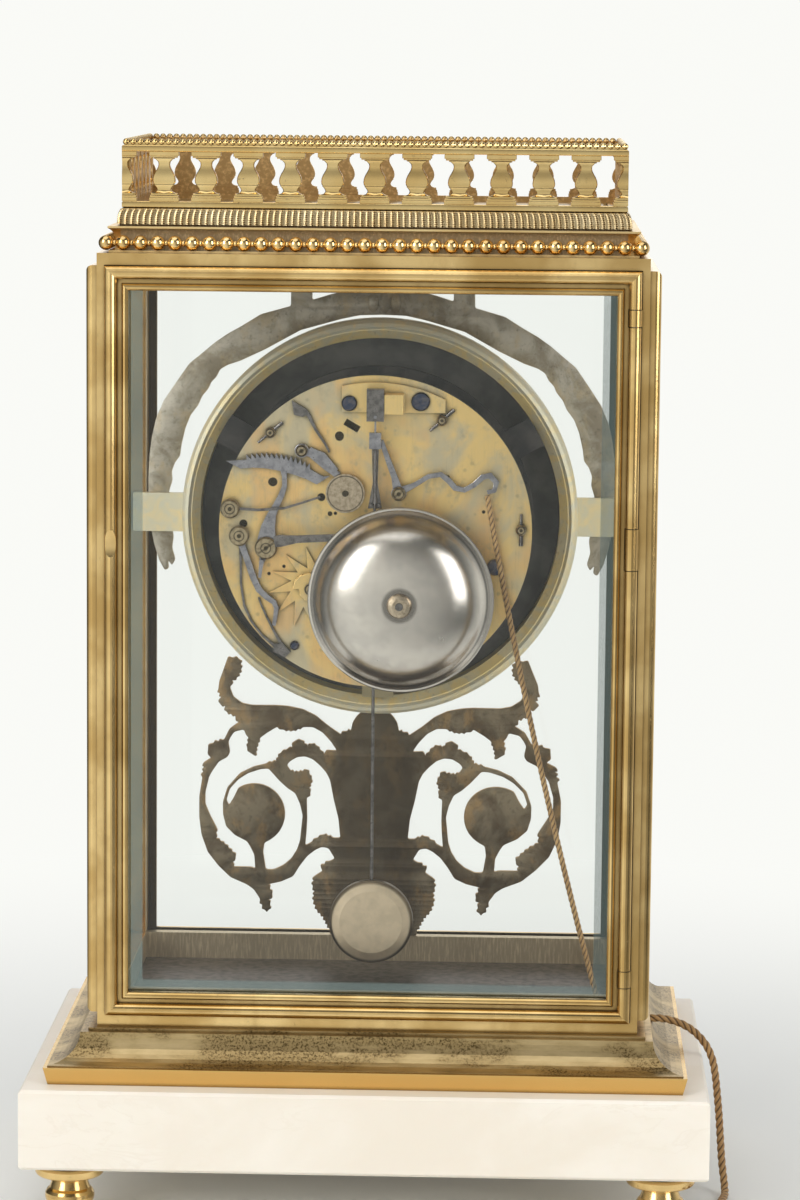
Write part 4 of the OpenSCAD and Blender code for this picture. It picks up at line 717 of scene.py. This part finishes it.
def twisted_tube(line, radius, lay, around=18, taper=0.0):
    """Closed tube whose rounded strands wind round the line once in every lay."""
    made = bmesh.new()
    crest = made.verts.layers.float.new("crest")
    side = Vector((0, 0, 1))
    rings, gone = [], 0.0
    total = line_length(line)
    for i, p in enumerate(line):
        ahead = (line[min(i + 1, len(line) - 1)] - line[max(i - 1, 0)]).normalized()
        side = (side - ahead * side.dot(ahead)).normalized()
        if side.length < 0.5:
            side = ahead.orthogonal().normalized()
        up = ahead.cross(side)
        if i:
            gone += (p - line[i - 1]).length
        turn = 2 * math.pi * gone / lay
        grow = 1 - taper * gone / total
        ring = []
        for k in range(around):
            a = 2 * math.pi * k / around
            high = abs(math.cos(STRANDS * (a - turn) / 2))
            r = radius * grow * (0.66 + 0.34 * high ** 0.7)
            v = made.verts.new(p + r * (math.cos(a) * side + math.sin(a) * up))
            v[crest] = high
            ring.append(v)
        rings.append(ring)
    for a, b in zip(rings, rings[1:]):
        for k in range(around):
            n = (k + 1) % around
            made.faces.new((a[k], a[n], b[n], b[k]))
    made.faces.new(rings[0][::-1])
    made.faces.new(rings[-1])
    return made


# Cord

CORD_R = 1.5
CORD_LAY = 9.0
# The run inside the case looks thinner and tighter
INNER_CORD_R, INNER_CORD_LAY = 0.76 * CORD_R, 0.8 * CORD_LAY
# The route of the CAD source: out of the plinth, over the slab and onto the table
CORD_ROUTE = [
    (-104, 12, 66), (-109, 12, 66.3), (-114, 12, 65.6), (-119, 12, 63.8), (-123.5, 12, 60.8),
    (-127.5, 13, 56.4), (-130, 14, 51), (-131.2, 15, 45), (-132, 16, 38), (-132.8, 16.5, 30),
    (-133.4, 17, 22), (-134, 17.4, 14), (-134.5, 18, 9.4), (-135, 19.2, 5.8), (-135.3, 21.4, 3),
    (-135.2, 24.8, 1.7), (-134.6, 28.4, 1.5), (-133.6, 33, 1.5), (-132.6, 38, 1.5), (-131.9, 44, 1.5),
    (-131.6, 50, 1.5), (-131.4, 56, 1.5)]


def coil_line():
    """Flat coil on the table, wound inwards from the end of the route and lifted to its knot."""
    turns, per_turn = 2, 48
    outer, pitch, start = 21.2, 3.6, math.radians(-3)
    end = Vector(CORD_ROUTE[-1])
    middle = end - outer * Vector((math.cos(start), math.sin(start), 0))
    line = []
    for i in range(turns * per_turn + 1):
        t = i / per_turn
        near_end = max(0, 1 - 4 * (turns - t)) ** 2
        r = outer - pitch * t - 3 * near_end
        a = start + 2 * math.pi * t
        line.append(middle + Vector((r * math.cos(a), r * math.sin(a), 1.6 * near_end)))
    return line


def make_cords(finish):
    coil = coil_line()
    free = evenly(smooth_curve(CORD_ROUTE, 6)[:-1] + coil, 0.6)
    cord = piece("pull_cord_silk", "case", finish, twisted_tube(free, CORD_R, CORD_LAY),
                 stands_for=("pull_cord", "cord_coil"))
    ahead = (free[-1] - free[-3]).normalized()
    knot = piece("pull_cord_knot", "case", finish, knot_and_tassel(free[-1], ahead),
                 stands_for=("cord_knot",))


def knot_and_tassel(start, ahead):
    """Overhand knot of the cord itself with a short frayed tail."""
    side = ahead.cross(Vector((0, 0, 1))).normalized()
    up = side.cross(ahead)
    wraps, swell, span = 2.2, 1.75, 4.6
    turns = []
    for i in range(61):
        t = i / 60
        a = 2 * math.pi * wraps * t
        r = swell * math.sin(math.pi * min(1, max(0, 0.08 + t * 0.86))) ** 0.5
        turns.append(start + ahead * (0.4 + span * t) + r * (math.cos(a) * side + math.sin(a) * up))
    made = twisted_tube(evenly(turns, 0.45), 1.25, 6.5, around=12)
    tail = [start + ahead * (span - 0.2 + 0.5 * i) for i in range(7)]
    repeat(made, twisted_tube(tail, 1.45, 9, around=12, taper=-0.12), [Matrix()])
    return made


def make_inner_cord(finish):
    """The cord's run inside the case, slightly bowed, from the repeat lever to the floor."""
    top, low = Vector((-41.8, 16, 265.7)), Vector((-87, 13, 69.7))
    bow = 2.4 * Vector((0.972, 0.065, -0.225))
    count = 340
    line = [top.lerp(low, i / count) + bow * (1 - (2 * i / count - 1) ** 2) for i in range(count + 1)]
    piece("inner_cord_silk", "cord_body", finish, twisted_tube(line, INNER_CORD_R, INNER_CORD_LAY),
          stands_for=("cord_run",))


# Case ornament

# Half of the vase, as (half width, share of the height)
BALUSTER_SIDE = (
    (4.3, 0.165), (3.1, 0.19), (2.6, 0.235), (2.8, 0.27), (3.4, 0.32), (3.8, 0.335), (3.6, 0.348), (3.85, 0.36),
    (4.0, 0.38), (4.12, 0.43), (3.95, 0.5), (3.45, 0.57), (2.8, 0.63), (2.25, 0.69), (2.05, 0.74), (2.2, 0.79),
    (2.9, 0.835), (3.6, 0.86))
# Steps of foot and cap: half width, shares of the height from and to, and how far they lie back
BALUSTER_STEPS = (
    (5.45, 0, 0.07, 0.15), (5.25, 0.07, 0.12, 0.4), (4.9, 0.12, 0.168, 0.65), (3.8, 0.85, 0.878, 0.9),
    (4.9, 0.875, 0.915, 0.6), (5.4, 0.91, 1, 0.15))


def vase_front(half):
    """Y of the vase's front where it is this wide by half. It lies deeper where the vase is slim."""
    return 0.42 * half - 2.15


def baluster():
    """Flat-backed vase on a stepped foot, under a stepped cap."""
    corner = 0.3
    made = bmesh.new()
    for half, low, high, set_back in BALUSTER_STEPS:
        block(made, (-half, -PANEL_T, low * BALUSTER_H), (half, -set_back, high * BALUSTER_H), 0.12)
    vase = bmesh.new()
    side = [(w, 0, t * BALUSTER_H) for w, t in BALUSTER_SIDE]
    spun(vase, chain(vase, [(0, 0, side[0][2]), *side, (0, 0, side[-1][2])]), 4, math.pi)
    for v in vase.verts:
        w = math.hypot(v.co.x, v.co.y)
        if w > 0.1:
            across = v.co.x / w
            v.co.y = vase_front(w) - (corner if abs(across) > 0.9 else 0)
            if 0.1 < abs(across) < 0.9:
                v.co.x = math.copysign(w - corner, across)
        else:
            v.co.y = vase_front(side[0 if v.co.z < BALUSTER_H / 2 else -1][0])
    wall = bmesh.ops.extrude_edge_only(vase, edges=[e for e in vase.edges if e.is_boundary])["geom"]
    for v in wall:
        if isinstance(v, bmesh.types.BMVert):
            v.co.y = -PANEL_T
    bmesh.ops.holes_fill(vase, edges=[e for e in vase.edges if e.is_boundary], sides=0)
    repeat(made, vase, [Matrix()])
    vase.free()
    return made


def halved(model):
    """The +X half of a model, closed again."""
    half = model.copy()
    bmesh.ops.bisect_plane(half, geom=half.verts[:] + half.edges[:] + half.faces[:], plane_co=(0, 0, 0),
                           plane_no=(1, 0, 0), clear_inner=True)
    bmesh.ops.holes_fill(half, edges=[e for e in half.edges if e.is_boundary], sides=0)
    return half


def make_gallery(finish):
    """Four pierced panels of flat balusters between two rails, with a string of small beads on top."""
    whole, ends = [], []
    for turn, out, length, bays in ((0, GALLERY_OUT - NARROWER, 2 * GALLERY_OUT, 12),
                                    (90, GALLERY_OUT, 2 * (GALLERY_OUT - NARROWER - PANEL_T), 6)):
        for side in (turn, turn + 180):
            panel = Matrix.Rotation(math.radians(side), 4, "Z") @ Matrix.Translation((0, out, Z_GALLERY + RAIL_H))
            for i in range(1, bays):
                whole.append(panel @ Matrix.Translation((length * (i / bays - 0.5), 0, 0)))
            ends.append(panel @ Matrix.Translation((-length / 2, 0, 0)))
            ends.append(panel @ Matrix.Translation((length / 2, 0, 0)) @ Matrix.Scale(-1, 4, (1, 0, 0)))
    model = baluster()
    made = bmesh.new()
    repeat(made, model, whole)
    repeat(made, halved(model), ends)
    model.free()
    piece("gallery_balusters", "case", finish, made, stands_for=("gallery",))
    inner = GALLERY_OUT - PANEL_T
    for name, low in (("gallery_bottom_rail", Z_GALLERY), ("gallery_top_rail", Z_GALLERY + RAIL_H + BALUSTER_H)):
        profile = ((inner, 0), (GALLERY_OUT - 0.2, 0), (GALLERY_OUT, 0.25), (GALLERY_OUT, RAIL_H - 0.5),
                   (GALLERY_OUT - 0.35, RAIL_H), (inner, RAIL_H))
        piece(name, "case", finish, square_ring([(d, low + z) for d, z in profile]))
    top = Z_GALLERY + 2 * RAIL_H + BALUSTER_H
    back, front, band_h = GALLERY_OUT - 2.2, GALLERY_OUT - 0.8, 1.1
    made = square_ring([(back, top), (front, top), (front, top + band_h), (back, top + band_h)])
    repeat(made, ball(SMALL_BEAD_R, 8, 6), round_the_case(GALLERY_OUT - PANEL_T / 2, top + 1.2, 71, 34))
    piece("gallery_beads", "case", finish, made)


def make_cornice(finish, bead_finish):
    """Cornice with a polished hollow, and its string of beads with a small collar between each two."""
    profile = smooth_curve([(94.1, 357.1), (93.8, 358.6), (93.7, 360.2), (93.9, 361.8), (94.4, 363.2), (95.2, 364.3),
                            (96.4, 365.1)], 4)
    made = square_ring([(88, Z_TOP), (96, Z_TOP), (96, 357.1), *profile, (96.4, Z_REED), (88, Z_REED)])
    piece("cornice_hollow", "case", finish, made, stands_for=("cornice",))
    made = bmesh.new()
    repeat(made, ball(BEAD_R, 16, 10), round_the_case(BEAD_LINE, BEAD_Z, 32, 16))
    repeat(made, ball(COLLAR_R, 8, 6), round_the_case(BEAD_LINE, BEAD_Z, 32, 16, 0.5))
    piece("cornice_bead_string", "case", bead_finish, made, stands_for=("cornice_beads",))


REED_ROWS = 20
# A plain fillet runs below the reeds, its lowest edge tucked in
REED_FILLET, REED_TUCK = 1.2, 1.1
# How far a reed stands out at each of its four steps
REED_CREST = (0, 0.42, 0.56, 0.42)


def make_reeds(finish):
    """Quarter round cut into upright reeds, with fine nicks across them."""
    rise = (Z_GALLERY - Z_REED) / REED_ROWS
    face = []
    for i in range(REED_ROWS + 1):
        z = Z_REED + i * rise
        up = max(0.0, z - Z_REED - REED_FILLET) / (Z_GALLERY - Z_REED - REED_FILLET)
        foot = REED_FOOT - (REED_TUCK if i < 2 else 0)
        face.append((0, foot + (REED_OUT - REED_FOOT) * math.sqrt(max(0.0, 1 - up * up)), z))
    made = bmesh.new()
    for turn, reeds, shorter in ((0, 83, 0), (90, 43, NARROWER)):
        for side in (turn, turn + 180):
            strip = bmesh.new()
            steps = 4 * reeds
            line = chain(strip, [*face, (0, REED_BACK, Z_GALLERY), (0, REED_BACK, Z_REED)], True)
            bmesh.ops.spin(strip, geom=line, cent=(0, 0, 0), axis=(0, 0, 1), dvec=(1 / steps, 0, 0), angle=0,
                           steps=steps)
            for v in strip.verts:
                along, d = 2 * v.co.x - 1, v.co.y
                row = round((v.co.z - Z_REED) / rise)
                reeded = d > REED_BACK + 1 and 1 < row < REED_ROWS
                crest = REED_CREST[round(v.co.x * steps) % 4] if reeded else 0
                out = d - 0.16 + crest * (0.12 if row % 2 else 1)
                v.co.x = along * (d - shorter)
                v.co.y = out - (NARROWER - shorter)
            repeat(made, strip, [Matrix.Rotation(math.radians(side), 4, "Z")])
            strip.free()
    piece("reeds", "case", finish, made, stands_for=("reeded_moulding",), crease=60)


# Castings of the dial side

# Half of the scrollwork, its outside and its three openings, as (x, z)
SCROLL_OUT = (
    (1.7, 174.3), (6, 173.6), (8.9, 171), (10.5, 168.4), (11.2, 165), (12.5, 164.8), (15, 163.5), (20.3, 167.1),
    (24.9, 170.9), (30.1, 173.4), (35.8, 174.5), (40, 174.8), (50, 174.7), (54, 175.5), (57.4, 178), (58.8, 181.8),
    (58.1, 184.5), (56.1, 185.7), (54.6, 188.7), (54.9, 192.6), (57.5, 193.3), (60, 192.7), (60.8, 190.3),
    (61.9, 187.2), (63, 184.1), (63.3, 181), (62, 177.9), (62.7, 175.2), (60.5, 174.5), (60, 172.1), (56.6, 170.6),
    (55.1, 168), (58.9, 165.2), (61.2, 160.5), (65, 159.4), (67.3, 157.5), (67.5, 154.8), (66, 153.5), (69.2, 151.5),
    (68.5, 150), (69.5, 145.9), (70.7, 138.2), (70.7, 129.7), (69.8, 122.8), (67.3, 115.8), (63.1, 110.4),
    (58.3, 105.8), (51.8, 103), (49.1, 101.1), (46.5, 97.2), (44.7, 93), (43.2, 92.8), (42.7, 94.5), (43.5, 97),
    (41.8, 98.8), (42.8, 101), (43.5, 103.1), (38.1, 104.4), (33.5, 106.5), (30.9, 110.8), (27.9, 114.8),
    (24.9, 117.2), (22.2, 118.5), (19.6, 118), (17.1, 113.9), (19.2, 112.7), (22.6, 110.3), (21.9, 108.8),
    (24.9, 106.8), (25.6, 103), (24.8, 100.8), (25.2, 97), (23.9, 93.4), (21.4, 90.7), (20.5, 89), (19, 86),
    (17.5, 83.4))
SCROLL_HOLES = (
    ((36.2, 150.9), (35.1, 152.5), (32.1, 154.3), (29, 154.6), (26, 153.5), (23, 150.9), (20.7, 148.3), (19.2, 145.3),
     (17.7, 137.6), (15.8, 130), (15, 122.2), (18, 122.2), (21.4, 123.3), (23.7, 122.1), (26, 120.5), (28.8, 119),
     (28.3, 125), (28.1, 129.7), (28.3, 138.2), (27, 139.8), (27.5, 142), (26.4, 145.2), (28.3, 149.2), (29.8, 148.5),
     (33.2, 148), (34.7, 148.7)),
    ((16.6, 157.1), (18.9, 160.6), (22.3, 164.3), (26, 166.3), (30, 166.3), (33.6, 165), (37.2, 165.1), (40, 166.3),
     (44.2, 163.7), (47, 161.5), (48.3, 158), (48.7, 154.4), (50.3, 155.5), (51.8, 157.6), (51.2, 161.5),
     (52.5, 163), (53.2, 165), (57, 164), (58.5, 161.7), (59.3, 159.8), (58.6, 155.9), (59.5, 154), (63, 152),
     (64, 150.5), (65.4, 148.5), (66.8, 146), (68.3, 139.7), (68.3, 135), (66.4, 130.5), (64, 125.9), (64.2, 121.3),
     (60.7, 119), (56.2, 114.4), (57.5, 112), (57.3, 110), (50, 110), (48.5, 109.4), (48.9, 114.9), (50.5, 118.2),
     (51.8, 120.3), (56.7, 122.8), (60.1, 126.2), (61.3, 131), (61.4, 135.9), (59.7, 141.7), (54.7, 147.5),
     (49.4, 150.2), (44.2, 151.5), (40.4, 152.4), (38.9, 155.5), (36.6, 157), (34, 158), (33.6, 160.3), (30.6, 161),
     (28.3, 158.5), (26.8, 159.5), (24.9, 159), (21.8, 155.4), (19.6, 157.2)),
    ((59, 134.7), (57.3, 137.4), *((48.9 + 12.1 * math.cos(math.radians(a)), 131.4 + 12.1 * math.sin(math.radians(a)))
                                   for a in range(58, 244, 12)),
     (44.9, 119.8), (45.4, 116), (44.3, 109.1), (41.2, 109.1),
     (37.4, 110.9), (34.3, 113.6), (32.1, 117.2), (30.9, 121), (29.9, 131), (31, 135.7), (32.9, 139.9), (35.9, 141.8),
     (39.2, 144.8), (41.9, 147.8), (43.4, 149.5), (46.4, 149.3), (51.4, 147.6), (55.2, 145.1), (58.6, 141.3),
     (60, 136.6)))
# Spans of these outlines that are toothed, and how far their teeth stand out to the left of the line
SCROLL_TEETH = ((4, 5, *range(15, 21), *range(25, 31), 33, 34, 38, 39, *range(49, 56), 65, *range(68, 76)), 1.1)
HOLE_TEETH = (((11, 12, 13, *range(18, 25)), 0.8), ((4, 5, 6, 9, 10, 12, 13, *range(29, 34), *range(47, 58)), -0.8),
              ((), 0))
# Half of the garland: its upper edge with the strap, then its scalloped lower edge from the tip
GARLAND = (
    (0, 343.2), (8.5, 343.2), (9, 340.3), (12.5, 338), (20.3, 336.1), (27.3, 333.9), (27.5, 343.2), (35.5, 343.2),
    (35.7, 331.4), (47.3, 328.1), (55, 323.3), (60, 320.5), (65, 317), (70, 312.8), (75, 308.7), (80, 301.5),
    (85, 294), (88, 287), (89.6, 280), (90.6, 272), (91, 264), (90.9, 255), (90.2, 246), (88.6, 238), (86.6, 231.5),
    (84.4, 227.6), (82.8, 228.5), (83.2, 231.6), (81.6, 229.6), (80.3, 232), (81.6, 236.5), (81, 241), (81.8, 246),
    (82.3, 254.5), (82.9, 258.5), (81.5, 263), (81.8, 266.5), (80.5, 270), (78.6, 272.5), (78, 277), (76.5, 283.5),
    (74.5, 288.5), (71.5, 292.5), (70, 296), (67.5, 299), (66.5, 301.5), (64.5, 303.5), (63, 306.5), (60, 308.3),
    (55, 310), (45.3, 314.6), (31.8, 322.1), (16.4, 326.5), (9, 328.1), (0, 328.4))


def mirrored(line, middle, fuller=0.0):
    """The other half of an outline, swelling a little towards its outside."""
    return [(middle - (x - middle) * (1 + fuller * ((x - middle) / 65) ** 4), z) for x, z in reversed(line)]


# Ribbon knot at the garland's crown: half sizes of a fold, and where the folds lie
KNOT_FOLD = (2.5, 1.7, 4.4, 1)
KNOT_FOLDS_AT = (-4.9, -0.6, 3.7)
KNOT_Z = 333.2


def make_castings(scroll_finish, garland_finish):
    """Open scrollwork under the movement, and the garland that hangs over it."""
    half = leafy(SCROLL_OUT, *SCROLL_TEETH)
    openings = [leafy(hole, *teeth) for hole, teeth in zip(SCROLL_HOLES, HOLE_TEETH)]
    outlines = [[*half, *mirrored(half[1:], SCROLL_MID, 0.05)], *openings,
                *(mirrored(hole, SCROLL_MID, 0.05) for hole in openings)]
    made = cast_plate([eased(line) for line in outlines], ORNAMENT_BACK, ORNAMENT_T, 0.38)
    piece("scrollwork", "case", scroll_finish, made, stands_for=("scroll_ornament",))
    outside = [*GARLAND, *mirrored(GARLAND[1:-1], 0)]
    made = cast_plate([eased(outside)], ORNAMENT_BACK, ORNAMENT_T, 0.5)
    repeat(made, ball(1, 12, 8), [Matrix.Translation((x, ORNAMENT_BACK - 0.7, KNOT_Z)) @ Matrix.Diagonal(KNOT_FOLD)
                                  for x in KNOT_FOLDS_AT])
    piece("leaf_garland", "case", garland_finish, made, stands_for=("garland",))


# Dial

CHAPTERS = "XII I II III IIII V VI VII VIII IX X XI".split()
NUMERAL_H, SERIF_H = 11.5, 0.5
NUMERALS_R = 46
TRACK_IN, TRACK_OUT, TRACK_LINE = 60, 62.6, 62.4
WINDING_X, WINDING_Z = 19.5, 236
# Section of a winding hole's collar, as (radius, height over the dial's face)
COLLAR = ((3.2, -0.1), (4.9, -0.1), (4.8, 0.3), (4.3, 0.55), (3.6, 0.5), (3.2, 0.2))
# For each letter its width and its strokes: foot, head and width
STROKES = {
    "I": (3.2, ((1.6, 1.6, 1.7),)),
    "V": (7.4, ((3.7, 1.5, 1.7), (3.7, 6.1, 0.6))),
    "X": (7.4, ((5.9, 1.5, 1.7), (1.3, 6.1, 0.6))),
}


def ink_stroke(made, place, foot, head, thick, low, high):
    """Thin raised stroke of ink from one height to another, leaning from foot to head."""
    t = thick / 2
    corners = ((foot - t, low), (foot + t, low), (head + t, high), (head - t, high))
    face = made.faces.new([made.verts.new(place @ Vector((x, 0, z))) for x, z in corners])
    new = bmesh.ops.extrude_face_region(made, geom=[face])["geom"]
    bmesh.ops.translate(made, vec=(0, -0.12, 0), verts=[v for v in new if isinstance(v, bmesh.types.BMVert)])


def on_dial(degrees, out=0):
    """Place on the dial's face, a distance out from its middle and turned with the hour."""
    return (Matrix.Translation((0, DIAL_FACE + 0.04, DIAL_Z)) @ Matrix.Rotation(math.radians(degrees), 4, "Y")
            @ Matrix.Translation((0, 0, out)))


def make_dial_marks(ink, metal):
    """Hour numerals, minute track and the collars of the winding holes."""
    made = bmesh.new()
    for hour, word in enumerate(CHAPTERS):
        place = on_dial(30 * hour, NUMERALS_R)
        left = -sum(STROKES[c][0] for c in word) / 2
        for c in word:
            wide, strokes = STROKES[c]
            for foot, head, thick in strokes:
                ink_stroke(made, place, left + foot, left + head, thick, 0, NUMERAL_H)
            for low in (0, NUMERAL_H - SERIF_H):
                ink_stroke(made, place, left + wide / 2, left + wide / 2, wide - 0.2, low, low + SERIF_H)
            left += wide
    for minute in range(60):
        ink_stroke(made, on_dial(6 * minute), 0, 0, 0.3 if minute % 5 else 0.9, TRACK_IN, TRACK_OUT)
    for r in (TRACK_IN, TRACK_LINE):
        ring = ((r, DIAL_FACE + 0.04), (r + 0.3, DIAL_FACE + 0.04), (r + 0.3, DIAL_FACE - 0.1), (r, DIAL_FACE - 0.1))
        repeat(made, turned_flat(ring, (0, DIAL_Z), 120), [Matrix()])
    piece("dial_marks", "case", ink, made)
    made = bmesh.new()
    for x in (-WINDING_X, WINDING_X):
        section = [(r, DIAL_FACE - h) for r, h in COLLAR]
        repeat(made, turned_flat(section, (x, WINDING_Z), 40), [Matrix()])
    piece("winding_collars", "case", metal, made)


# The bell's outside from rim to crown, as (radius, height over its mouth)
BELL_LINE = (
    (34.7, 0), (34.7, 1.4), (34.4, 1.7), (33.7, 1.8), (33.2, 2.4), (32.2, 3.2), (31.45, 4.2), (30.7, 5.6),
    (30.05, 7.1), (29.1, 8.8), (27.9, 10.3), (26.4, 11.8), (24.4, 13.1), (22.2, 14.2), (19.7, 15.15),
    (16.8, 15.9), (13.6, 16.45), (10.2, 16.8), (6.8, 17), (1.5, 17))


def make_bell(finish):
    """Thin bell with a rolled rim, open towards the plate."""
    wall = 1.4
    outside = [(r, BELL_Y + h) for r, h in BELL_LINE]
    inside = [(r - wall * r / BELL_R, BELL_Y + h * (BELL_H - wall) / BELL_H) for r, h in BELL_LINE]
    inside[-1] = (1.5, inside[-1][1])
    made = turned_flat([*outside, *reversed(inside)], (BELL_X, BELL_Z), 96)
    piece("bell_bowl", "case", finish, made, stands_for=("bell",))


def soften(names, width):
    """Rounds the edges of CAD nodes slightly, as hand finishing does."""
    for name in names.split():
        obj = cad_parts[name]
        weld = obj.modifiers.new("weld", "WELD")
        weld.merge_threshold = 1e-6
        bevel = obj.modifiers.new("edge", "BEVEL")
        bevel.width, bevel.segments, bevel.limit_method = width * MM, 2, "ANGLE"
        bevel.angle_limit = math.radians(38)
        bevel.use_clamp_overlap = True


# Studio

WHITE = (0.955, 0.96, 0.925)


def lobe(x, y):
    """Brightness of the surroundings by direction: light from two opposite sides, darker between them."""
    mean, swing, turn = 0.50, 0.44, math.radians(70)
    square = (x * x) + (y * y)
    turned = ((y * y) - (x * x)) * math.cos(turn) + (x * y) * (2 * math.sin(turn))
    return mean + swing * (turned / square.high(1e-6))


def set_studio():
    """Pale floor, white surroundings and soft lamps."""
    bpy.context.scene.view_settings.view_transform = "Standard"
    world = bpy.data.worlds.new("studio")
    bpy.context.scene.world = world
    world.use_nodes = True
    air = Nodes(world.node_tree)
    way = air.node("TexCoord", out="Generated")
    x, y, z = [air.node("SeparateXYZ", None, {0: way}, out=i) for i in range(3)]
    lit = air.node("Background", None, {"Color": (0.90, 0.91, 0.92), "Strength": 0.42})
    mirrored_light = air.node("Background", None, {
        "Color": WHITE, "Strength": lobe(x, y) * z.step(0.0, 0.75, 1.0, 0.2)})
    seen = air.node("Background", None, {"Color": WHITE, "Strength": 1.0})
    glossy = air.node("LightPath", out="Is Glossy Ray")
    straight = air.node("LightPath", out="Is Camera Ray").high(air.node("LightPath", out="Is Transmission Ray"))
    unseen = air.node("MixShader", None, {0: glossy, 1: lit, 2: mirrored_light})
    air.surface(air.node("MixShader", None, {0: straight, 1: unseen, 2: seen}), "World Output")

    floor = Finish("studio_floor", Roughness=0.9, Specular_IOR_Level=0.1)
    floor.set(Base_Color=floor.mix(floor.clouds(900, 2).step(0.3, 0.7), (0.88, 0.885, 0.86), (0.90, 0.905, 0.88)))
    x, y, z = floor.axes()
    distance = ((x * x) + (y * y)) ** 0.5
    glossy = floor.node("LightPath", out="Is Glossy Ray")
    glow = floor.node("Emission", None, {"Color": WHITE, "Strength": 1 + glossy * (lobe(x, y) * 0.95 - 1)})
    floor.surface(floor.node("MixShader", None, {
        0: distance.step(120, 620) * floor.shown(), 1: Value(floor, floor.shader.outputs[0]), 2: glow}))
    made = bmesh.new()
    bmesh.ops.create_grid(made, x_segments=4, y_segments=4, size=6)
    mesh = bpy.data.meshes.new("studio_floor")
    made.to_mesh(mesh)
    made.free()
    mesh.materials.append(floor.material)
    placed("studio_floor", mesh)

    aim = Vector((0, 0, 0.22))
    for name, place, size, power in (
            ("lamp_left", (1.3, 1.5, 1.1), (0.9, 1.4), 19),
            ("lamp_right", (-1.4, 1.2, 0.8), (0.8, 1.4), 14),
            ("lamp_top", (0.2, 0.3, 1.9), (1.6, 1.6), 9),
            ("lamp_behind", (0.3, -1.8, 1.0), (2.0, 1.4), 7)):
        data = bpy.data.lights.new(name, "AREA")
        data.shape = "RECTANGLE"
        data.size, data.size_y = size
        data.energy = power
        lamp = placed(name, data)
        lamp.location = place
        lamp.rotation_euler = (aim - Vector(place)).to_track_quat("-Z", "Y").to_euler()


# Making

set_camera()
make_cords(silk("silk", (0.33, 0.175, 0.06), (0.45, 0.265, 0.105), (0.56, 0.36, 0.16)))
# The cord's run inside the case gets a lighter copy of the same silk: painted light for how light falls on it there
make_inner_cord(silk("inner_silk_painted_light", (0.47, 0.27, 0.10), (0.60, 0.375, 0.155), (0.74, 0.50, 0.25)))

gilt = aged_gilt("polished_gilt")
gallery_gilt = aged_gilt("gallery_gilt", (1.0, 0.77, 0.37), (0.86, 0.60, 0.24), reach=1.1, backs=True)
bead_gilt = aged_gilt("bead_gilt", (1.0, 0.74, 0.35), (0.82, 0.55, 0.22), (0.14, 0.08, 0.03), 0.7)
cornice_gilt = aged_gilt("cornice_gilt", (1.0, 0.78, 0.40), (0.86, 0.61, 0.27), (0.60, 0.38, 0.14), 1.0,
                         rough=0.26)
browned = ((0.52, 0.42, 0.26), (0.30, 0.23, 0.14))
wear(gilt, "feet case_frame side_frames rear_knuckles front_knuckles rear_door_frame front_door_frame "
     "rear_catch front_catch bezel minute_hand hour_hand")
wear(matt_gilt(), "plinth case_roof")
wear(plate_brass(), "back_plate suspension_cock star_wheel")
wear(small_brass("disc_brass", GATHER, (0.62, 0.51, 0.37), (0.40, 0.31, 0.21), 6.4, 1.1),
     "gathering_disc centre_arbor going_barrel strike_barrel bell_nut")
wear(small_brass("stud_brass", STUDS, *browned, 1.7, 0.7), "plate_studs")
wear(small_brass("pillar_brass", PILLARS, *browned, 1.2, 0.5), "pillars")
wear(drum_painted_shade(), "front_plate")
wear(worked_steel("floor_steel", (0.19, 0.155, 0.14), (0.10, 0.082, 0.082), 0.34), "case_floor")
wear(ring_brass(), "drum_ring mounting_lugs")
wear(worked_steel("lever_steel", (0.42, 0.41, 0.44), (0.27, 0.265, 0.29), 0.2),
     "jumper rear_hinge_pins front_hinge_pins suspension_spring repeat_lever rack rack_hook")
wear(worked_steel("dark_steel", (0.26, 0.24, 0.23), (0.13, 0.12, 0.115), 0.2),
     "pillar_pins crutch hammer leaf_springs bell_stand pendulum_rod suspension_block")
wear(blued_steel(), "plate_screws")
wear(bob_nickel(), "pendulum_bob")
wear(enamel(), "dial")
wear(marble(), "marble_base")
wear(clear_glass(), "side_glasses rear_door_glass front_door_glass")
soften("repeat_lever rack rack_hook hammer jumper leaf_springs star_wheel gathering_disc suspension_cock", 0.15)
soften("back_plate front_plate mounting_lugs bell_stand", 0.25)

make_gallery(gallery_gilt)
make_cornice(cornice_gilt, bead_gilt)
make_reeds(reed_gilt())
make_castings(cast_bronze("dark_bronze", (0.14, 0.098, 0.056), (0.29, 0.232, 0.15), (0.44, 0.275, 0.115),
                          (0.66, 0.46, 0.24), 0.7),
              cast_bronze("garland_bronze", (0.34, 0.29, 0.21), (0.60, 0.55, 0.46), (0.58, 0.46, 0.28),
                          (0.74, 0.64, 0.46)))
make_bell(bell_metal())
make_dial_marks(black_ink(), gilt)
set_studio()
